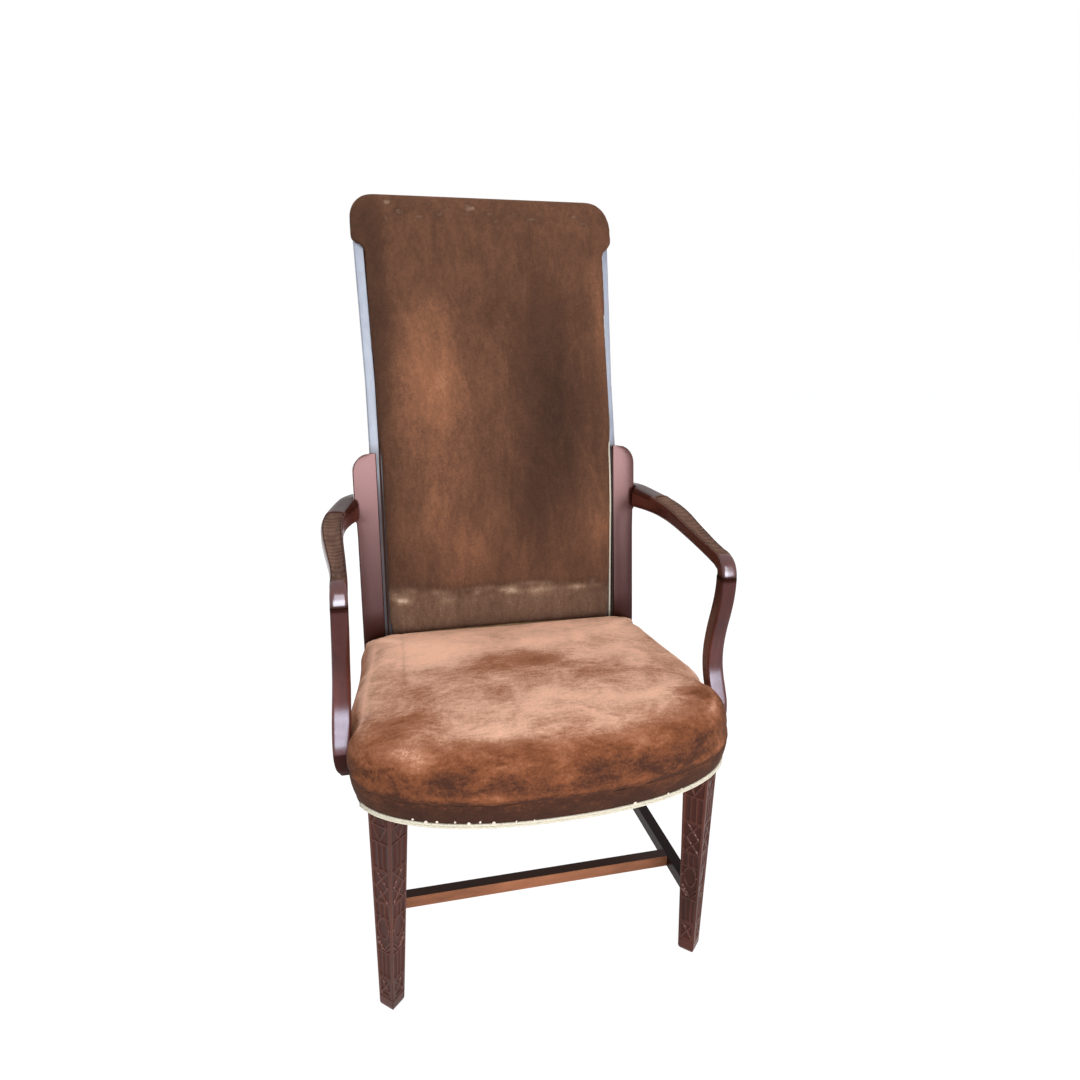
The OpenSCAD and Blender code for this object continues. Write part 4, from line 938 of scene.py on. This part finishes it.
def border_piece():
    """The velvet border strip round the rails, bulging between its seam and the piping."""
    t = np.linspace(0, 1, 20)
    out = np.interp(t, [0, 0.15, 0.35, 0.6, 0.85, 1], [9.0, 8.2, 5.4, 3.2, 1.9, 2.2])
    z = RAIL_Z + 0.8 + (SEAM_Z + 2.6 - RAIL_Z - 0.8) * t
    insets = np.concatenate([out, [9.6, 11.0, 11.2]])
    heights = np.concatenate([z, [SEAM_Z + 1, 372, RAIL_Z + 1]])
    line = np.stack([half_plan(v, SEAT_Y - 0.4, 4.0) for v in insets], 1)
    line = np.concatenate([line[::-1] * [-1, 1], line])
    grid = np.concatenate([line, np.broadcast_to(heights[None, :, None], (*line.shape[:2], 1))], -1)
    band = closed_grid("seat_border_velvet", grid, PAINTS["border"], 60)
    p = places(band)
    # Darker towards the rails, lighter towards the seam
    paint(band, "wear_and_painted_light", 0.34 + 0.2 * smooth((p[:, 2] - RAIL_Z) / 40))
    stand(band, "border_velvet", "seat_border")


def front_line(inset, count=160):
    """The front of the seat's outline from one leg's outer arris to the other's, inset, evenly spaced."""
    half = half_plan(inset, SEAT_Y, 0)[:54]
    line = np.concatenate([half[::-1] * [-1, 1], half])
    return spline(np.concatenate([line, np.zeros((len(line), 1))], 1), count)[:, :2]


def round_tube(line, radius):
    """Circular rings of one radius square to a line of points."""
    run = np.gradient(line, axis=0)
    run /= np.linalg.norm(run, axis=1, keepdims=True)
    side = np.cross(run, [0, 0, 1.0])
    side /= np.linalg.norm(side, axis=1, keepdims=True)
    up = np.cross(side, run)
    turn = (2 * np.pi * np.arange(12) / 12)[None, :, None]
    return line[:, None] + radius * (side[:, None] * np.cos(turn) + up[:, None] * np.sin(turn))


def piping_piece():
    """Two cream cords side by side along the lower edge of the border's front."""
    d = bpy.context.scene.chair_sizes.piping / MM
    grids = []
    for level in (0.45, 1.5):
        plan = front_line(INSET - d / 2 - 0.2)
        line = np.concatenate([plan, np.full((len(plan), 1), RAIL_Z + d * level)], 1)
        grids.append(round_tube(line, d / 2))
    stand(merged("front_piping_cords", grids, PAINTS["cord"]), "cream_cord", "front_piping")


def dome(centre, normal, radius, height):
    """Rings of a low dome on a plane through centre: radius times cosine, height times sine."""
    n = np.array(normal, float) / np.linalg.norm(normal)
    a = np.cross(n, [0, 0, 1.0])
    a /= np.linalg.norm(a)
    b = np.cross(n, a)
    turn = 2 * np.pi * np.arange(10) / 10
    circle = a * np.cos(turn)[:, None] + b * np.sin(turn)[:, None]
    rise = np.array([-0.3, 0.0, 0.35, 0.7, 1.2])
    return np.array([centre + circle * radius * np.cos(min(r, 1.4)) + n * height * np.sin(r) for r in rise])


# Where the tacks show, as points of the front line of 200
TACKS = (30, 36, 41, 49, 55, 60, 66, 76, 84, 132, 150, 158)


def tack_piece():
    """The tack heads that show in the velvet just above the piping."""
    line = front_line(INSET - 3.2, count=200)
    run = np.gradient(line, axis=0)
    grids = []
    for k in TACKS:
        n = np.array([run[k, 1], -run[k, 0], 0])
        centre = np.array([*line[k], RAIL_Z + 9.5 + 1.2 * np.sin(k * 1.7)])
        grids.append(dome(centre, n, 1.9 + 0.7 * np.sin(k * 2.3), 1.1))
    stand(merged("front_tack_heads", grids, PAINTS["tack"]), "brass", "front_tacks")


def under_piece():
    """The black cloth tacked under the rails: the seat's outline, cut round the front legs."""
    half = half_plan(19.7, UPRIGHT_Y - 0.3, 0, 40)
    line = np.concatenate([half, [[206.6, UPRIGHT_Y], [206.6, 127]]])
    d = np.abs(line[:, 0] - HEAD_X) + np.abs(line[:, 1] - LEG_Y)
    cut = np.clip((30.5 - d) / 2, 0, None)[:, None]
    line = line - cut * np.array([1, -1]) * 1.05
    line = np.concatenate([line, line[::-1] * [-1, 1]])
    rings = [np.concatenate([line * s + np.array([0, MIDDLE_Y]) * (1 - s), np.full((len(line), 1), z)], 1)
             for s, z in ((0.5, 342.5), (1, 342.5), (1, 341.7), (0.5, 341.4))]
    cloth = closed_grid("under_cloth_black", np.array(rings), PAINTS["black"], 40)
    stand(cloth, "black_cloth", "under_cloth")


# ---------------------------------------------------------------- back

COVER_Z = 427.0
# Thickness of the stuffed back from the seat up, as shares, and the radius of the head roll's ears
PAD_SHARES = np.array([0.46, 0.72, 0.90, 1, 1, 1, 1, 1, 1, 1, 0.96, 0.9, 0.84, 0.78, 0.72])
EAR = 38

# Rubbed and shaded places of the back: middle across, middle up, half widths, strength
BACK_WEAR_AND_SHADE = [
    (-104, 870, 52, 100, 0.26), (-150, 830, 30, 120, 0.08), (-104, 698, 40, 90, 0.14),
    (-70, 590, 50, 60, 0.15), (-188, 960, 18, 150, -0.22), (-202, 700, 14, 200, -0.16),
    (100, 906, 60, 120, -0.19), (111, 780, 55, 90, -0.22), (69, 680, 60, 80, -0.18), (196, 970, 14, 90, 0.20),
    (178, 600, 26, 60, 0.17), (10, 985, 60, 60, -0.05), (60, 850, 30, 140, -0.03),
    (-215, 1110, 30, 50, -0.16), (0, 1125, 230, 14, -0.04), (120, 560, 60, 40, -0.05),
]


def pad_half(z):
    """Half the width of the stuffed back at height z."""
    return post_edge(z) - 14.2


def left_gap(z):
    """How much narrower the stuffed back is on its left, where the post shows beside it."""
    return 4.4 - 0.8 * smooth((760 - z) / 40)


def back_grid():
    """Levels up the back: each an arch from side to side, closed behind by a flat."""
    z = np.linspace(COVER_Z, TOP_Z - 20, 100)
    thick = 22 * np.interp((z - COVER_Z) / (HEAD_Z - COVER_Z), np.linspace(0, 1, 15), PAD_SHARES)
    thick = thick - 7 * smooth((z - HEAD_Z - 20) / 40)
    turn = np.linspace(0, np.pi, 90)
    reach = pad_half(z) + 3.6 + 1.6 * smooth((950 - z) / 120) - 5.6 * smooth((785 - z) / 60)
    cosine = power(np.cos(turn), 5)[None]
    x = (reach[:, None] - left_gap(z)[:, None] * (cosine < 0)) * cosine
    y = back_line(z)[:, None] - 2.2 - (thick[:, None] - 1.9) * power(np.sin(turn), 5)[None]
    rear = np.linspace(-1, 1, 40)[1:-1]
    xr = pad_half(z)[:, None] * rear[None]
    yr = np.broadcast_to(back_line(z)[:, None] - 0.3, xr.shape)
    ring = np.stack([np.concatenate([x, xr], 1), np.concatenate([y, yr], 1)], -1)
    return at_height(ring, z)


def head_grid():
    """Stations across the chair: each an arch in side view over the top rail, rounded off at the ears."""
    bend = EAR * np.sin(np.radians(np.linspace(0, 88, 16)))
    flat = HALF_HEAD - EAR
    x = np.concatenate([-(flat + bend)[::-1], np.linspace(-flat, flat, 60)[1:-1], flat + bend])
    s = np.clip((np.abs(x) - flat) / EAR, 0, 1)
    top = TOP_Z + 4.5 - EAR * (1 - np.sqrt(1 - s * s))
    turn = np.linspace(0, np.pi, 48)
    low = HEAD_Z + 10 * s**6
    z = low[:, None] + (top - low)[:, None] * power(np.sin(turn), 4)[None]
    y = POST_Y + lean_run(z) + 8 - 22 * power(np.cos(turn), 4)[None]
    return np.stack([np.broadcast_to(x[:, None], z.shape), y, z], -1)


def scattered(dice, number, *ranges):
    """Spots whose numbers are drawn one after another, each evenly from its range."""
    return [tuple(dice.uniform(low, high) for low, high in ranges) for _ in range(number)]


def back_piece():
    """The stuffed inside back, whose velvet runs up and over the head roll in one."""
    back = merged("back_velvet_and_roll", [back_grid(), head_grid()], PAINTS["back"])
    stuffed(back, 4, bpy.context.scene.chair_sizes.back_swell,
            lambda p: (smooth((pad_half(p[:, 2]) - 2 - np.abs(p[:, 0])) / 26)
                       * smooth((TOP_Z - 8 - p[:, 2]) / 30)))
    x, _, z = places(back).T
    # Rubbed places and painted shade: dark edges along the posts and at the ears
    paint(back, "wear_and_painted_light", 0.4 + 1.15 * blobs(x, z, BACK_WEAR_AND_SHADE))
    low = 1 - smooth((z - 488 - 5 * np.sin(x / 37) + 0.04 * x) / 50)
    dice = np.random.default_rng(5)
    marks = [(a, 503 + b, *rest) for a, b, *rest in scattered(
        dice, 44, (-195, 190), (-13, 11), (5, 22), (3, 8), (0.05, 0.26))]
    marks += [(a, 1128 + b, *rest) for a, b, *rest in scattered(
        dice, 22, (-170, 200), (-14, 14), (4, 12), (3, 8), (0.28, 0.5))]
    paint(back, "flat", 0.5 * low + blobs(x, z, marks))
    stand(back, "velvet", "back_cover", "back_stuffing", "back_hessian", "back_webbing",
          "head_cover", "head_stuffing")


def outside_piece():
    """The flat velvet that closes the outside of the back."""
    z = np.linspace(RAIL_TOP + 0.6, HEAD_Z - 0.3, 80)
    x = np.linspace(-1, 1, 41)
    xs = np.concatenate([x, x[::-1]])[None] * 206.6 * np.ones((80, 1))
    sag = 1.2 * np.cos(np.pi / 2 * x) * np.ones((80, 1))
    outer = back_line(z)[:, None] + 26.3 + 2.2 - sag
    inner = outer[:, ::-1] - 1.2
    ring = np.stack([xs, np.concatenate([outer, inner], 1)], -1)
    cloth = closed_grid("outside_back_velvet", at_height(ring, z), PAINTS["border"], 50)
    paint(cloth, "wear_and_painted_light", 0.5)
    stand(cloth, "border_velvet", "outside_back")


def trim_line(z, side):
    """The middle of a side's trim across the back at height z."""
    return side * (pad_half(z) + 1.9 - left_gap(z) * (side < 0))


def trim_pieces():
    """Narrow strips along both sides of the inside back, and the nails through them."""
    z = np.linspace(COVER_Z, HEAD_Z - 0.3, 120)
    turn = 2 * np.pi * np.arange(8) / 8
    section = np.stack([np.cos(turn) * 1.6, np.sin(turn) * 0.75, np.zeros(8)], -1)
    # The left strip takes the dark border velvet at a low tone, painted shade beside the back's left edge;
    # the right strip is cream cord
    for name, slot, finish in (("left", "border_velvet", "border"), ("right", "cream_cord", "cord")):
        line = np.stack([trim_line(z, SIDES[name]), back_line(z) - 1.0, z], -1)
        strip = closed_grid(f"back_trim_{name}_strip", line[:, None] + section, PAINTS[finish])
        if name == "left":
            paint(strip, "wear_and_painted_light", 0.3)
        stand(strip, slot, f"back_trim_{name}")
    heights = COVER_Z + (HEAD_Z - COVER_Z) * (np.arange(10) + 0.5) / 10
    nails = [dome(np.array([trim_line(z, side), back_line(z) - 1.2, z]), (0, -1, 0.15), 1.1, 0.5)
             for z in heights for side in (-1, 1)]
    stand(merged("back_nail_heads", nails, PAINTS["brass"]), "brass", "back_nails")


# ---------------------------------------------------------------- kept solids and stage

KEPT = {
    "stretcher": ["medial_stretcher"],
    "waxed": ["side_stretcher_left", "side_stretcher_right"],
    "stained": ["rear_rail"],
    "beech": ["front_rail", "side_rail_left", "side_rail_right", "corner_blocks",
              "back_top_rail", "back_bottom_rail", "arm_dowels", "knuckle_dowels"],
    "steel": ["corner_screws", "support_screws", "back_screws"],
}


def kept_solids():
    """Gives each solid that stays its own finish."""
    for paint_name, nodes in KEPT.items():
        for node in nodes:
            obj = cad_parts[node]
            if not obj.material_slots:
                obj.data.materials.append(PAINTS[paint_name])
            for place in obj.material_slots:
                place.material = PAINTS[paint_name]


# Each softbox: name, brightness against a white of 1, width, height, place, direction it faces. The glint
# boxes are seen only in reflections, as highlights on the polish, and the others only light the chair.
LAMPS = [
    ("low_front_box", 8.4, 6.2, 1.9, (0.3, -6.5, 1.65), (0, 1, 0)),
    ("high_front_box", 4.2, 4.8, 3.7, (0.95, -6.5, 4.45), (0, 1, 0)),
    ("low_glint_box", 17.0, 6.2, 2.7, (0.3, -6.4, 1.4), (0, 1, 0)),
    ("high_glint_box", 7.5, 4.8, 3.7, (0.95, -6.4, 4.45), (0, 1, 0)),
    ("top_box", 2.2, 2.0, 2.0, (0.0, 0.1, 3.0), (0, 0, -1)),
    ("rear_box", 2.0, 2.0, 2.0, (-0.4, 2.8, 1.6), (0.1, -1, -0.3)),
]


# The camera as solved from the photo: its right, up and back axes and its place in metres, as columns
CAMERA = np.array([
    [0.9705557, 0.05848714, -0.23366834, -0.26149], [-0.24025397, 0.30476637, -0.92162655, -1.17482],
    [0.01731095, 0.95062964, 0.30984451, 1.02299], [0, 0, 0, 1]])
SENSOR_MM = 36
LENS_MM = 800.88 / 1080 * SENSOR_MM  # focal length in pixels over the picture's width
FLOOR_HALF = 6.0


def white_when_seen(tree, plain_shader, white, share, output):
    """Shows white to the eye, in reflections and through glass, and leaves the plain shader to the light."""
    path = add(tree, "LightPath")
    seen = total(tree, *[(path.outputs[f"Is {kind} Ray"], 0.0, share)
                         for kind in ("Camera", "Glossy", "Transmission")])
    add(tree, output, {0: add(tree, "MixShader", {0: seen, 1: plain_shader, 2: white})})


def stage_pieces():
    """A white floor that keeps a faint shadow, the white studio, its softboxes and the camera."""
    scene = bpy.context.scene
    material, tree = start("white_floor")
    white_when_seen(tree, add(tree, "BsdfDiffuse", {"Color": (0.9, 0.9, 0.9, 1)}),
                    add(tree, "Emission", {"Color": (1, 1, 1, 1), "Strength": 1.18}), 0.8, "OutputMaterial")
    mesh = bpy.data.meshes.new("floor")
    corners = [(FLOOR_HALF * x, FLOOR_HALF * y, 0) for x, y in ((-1, -1), (1, -1), (1, 1), (-1, 1))]
    mesh.from_pydata(corners, [], [[0, 1, 2, 3]])
    mesh.materials.append(material)
    floor = bpy.data.objects.new("floor", mesh)
    scene.collection.objects.link(floor)

    world = bpy.data.worlds.new("studio")
    scene.world = world
    world.use_nodes = True
    tree = world.node_tree
    tree.nodes.clear()
    white_when_seen(tree, add(tree, "Background", {"Color": (0.93, 0.96, 1.0, 1), "Strength": 0.25}),
                    add(tree, "Background", {"Color": (1, 1, 1, 1), "Strength": 1.0}), 1.0, "OutputWorld")

    for name, glow, width, height, place, aim in LAMPS:
        lamp = bpy.data.lights.new(name, "AREA")
        lamp.shape = "RECTANGLE"
        lamp.size, lamp.size_y = width, height
        lamp.energy = glow * np.pi * width * height
        obj = bpy.data.objects.new(name, lamp)
        obj.visible_camera = False
        obj.visible_glossy = "glint" in name
        obj.visible_diffuse = "glint" not in name
        scene.collection.objects.link(obj)
        obj.matrix_world = Matrix.LocRotScale(Vector(place), Vector(aim).to_track_quat("-Z", "Y"), None)

    camera = bpy.data.objects.new("camera", bpy.data.cameras.new("camera"))
    scene.collection.objects.link(camera)
    camera.matrix_world = Matrix(CAMERA.tolist())
    camera.data.sensor_width = SENSOR_MM
    camera.data.lens = LENS_MM
    camera.data.clip_start = 0.01
    scene.camera = camera
    scene.view_settings.view_transform = "Standard"


# ---------------------------------------------------------------- operators and panel

class MakeStage(bpy.types.Operator):
    """Makes the floor, the lamps and the camera"""
    bl_idname = "armchair.stage"
    bl_label = "Stage"

    def execute(self, context):
        stage_pieces()
        return {"FINISHED"}


class MakeSolids(bpy.types.Operator):
    """Makes the finishes and gives them to the solids that stay"""
    bl_idname = "armchair.solids"
    bl_label = "Kept solids"

    def execute(self, context):
        PAINTS.update(build_materials())
        kept_solids()
        return {"FINISHED"}


class MakeLegs(bpy.types.Operator):
    """Makes the carved front legs"""
    bl_idname = "armchair.legs"
    bl_label = "Front legs"

    def execute(self, context):
        leg_pieces()
        return {"FINISHED"}


class MakeUprights(bpy.types.Operator):
    """Makes the rear legs and the back posts"""
    bl_idname = "armchair.uprights"
    bl_label = "Rear legs and posts"

    def execute(self, context):
        upright_pieces()
        return {"FINISHED"}


class MakeArms(bpy.types.Operator):
    """Makes the arms and their supports"""
    bl_idname = "armchair.arms"
    bl_label = "Arms"

    def execute(self, context):
        arm_pieces()
        return {"FINISHED"}


class MakeSeat(bpy.types.Operator):
    """Makes the seat cushion, border, piping, tacks and dust cloth"""
    bl_idname = "armchair.seat"
    bl_label = "Seat"

    def execute(self, context):
        seat_piece()
        border_piece()
        piping_piece()
        tack_piece()
        under_piece()
        return {"FINISHED"}


class MakeBack(bpy.types.Operator):
    """Makes the back pad, head roll, outside back, trims and nails"""
    bl_idname = "armchair.back"
    bl_label = "Back"

    def execute(self, context):
        back_piece()
        outside_piece()
        trim_pieces()
        return {"FINISHED"}


STEPS = ["stage", "solids", "legs", "uprights", "arms", "seat", "back"]


class ArmchairPanel(bpy.types.Panel):
    """Lists the armchair's pieces in the sidebar"""
    bl_idname = "VIEW3D_PT_armchair"
    bl_label = "Armchair"
    bl_space_type = "VIEW_3D"
    bl_region_type = "UI"
    bl_category = "Armchair"

    def draw(self, context):
        for step in STEPS:
            self.layout.operator(f"armchair.{step}")


CLASSES = [ChairSizes, ChairColours, MakeStage, MakeSolids, MakeLegs, MakeUprights, MakeArms,
           MakeSeat, MakeBack, ArmchairPanel]


def register():
    """Registers the classes and the scene's settings."""
    for item in CLASSES:
        bpy.utils.register_class(item)
    bpy.types.Scene.chair_sizes = bpy.props.PointerProperty(type=ChairSizes)
    bpy.types.Scene.chair_colours = bpy.props.PointerProperty(type=ChairColours)


def unregister():
    """Takes the settings and classes away again."""
    del bpy.types.Scene.chair_colours
    del bpy.types.Scene.chair_sizes
    for item in reversed(CLASSES):
        bpy.utils.unregister_class(item)


def main():
    """Builds every piece in order."""
    register()
    for step in STEPS:
        getattr(bpy.ops.armchair, step)()


if __name__ == "__main__":
    main()
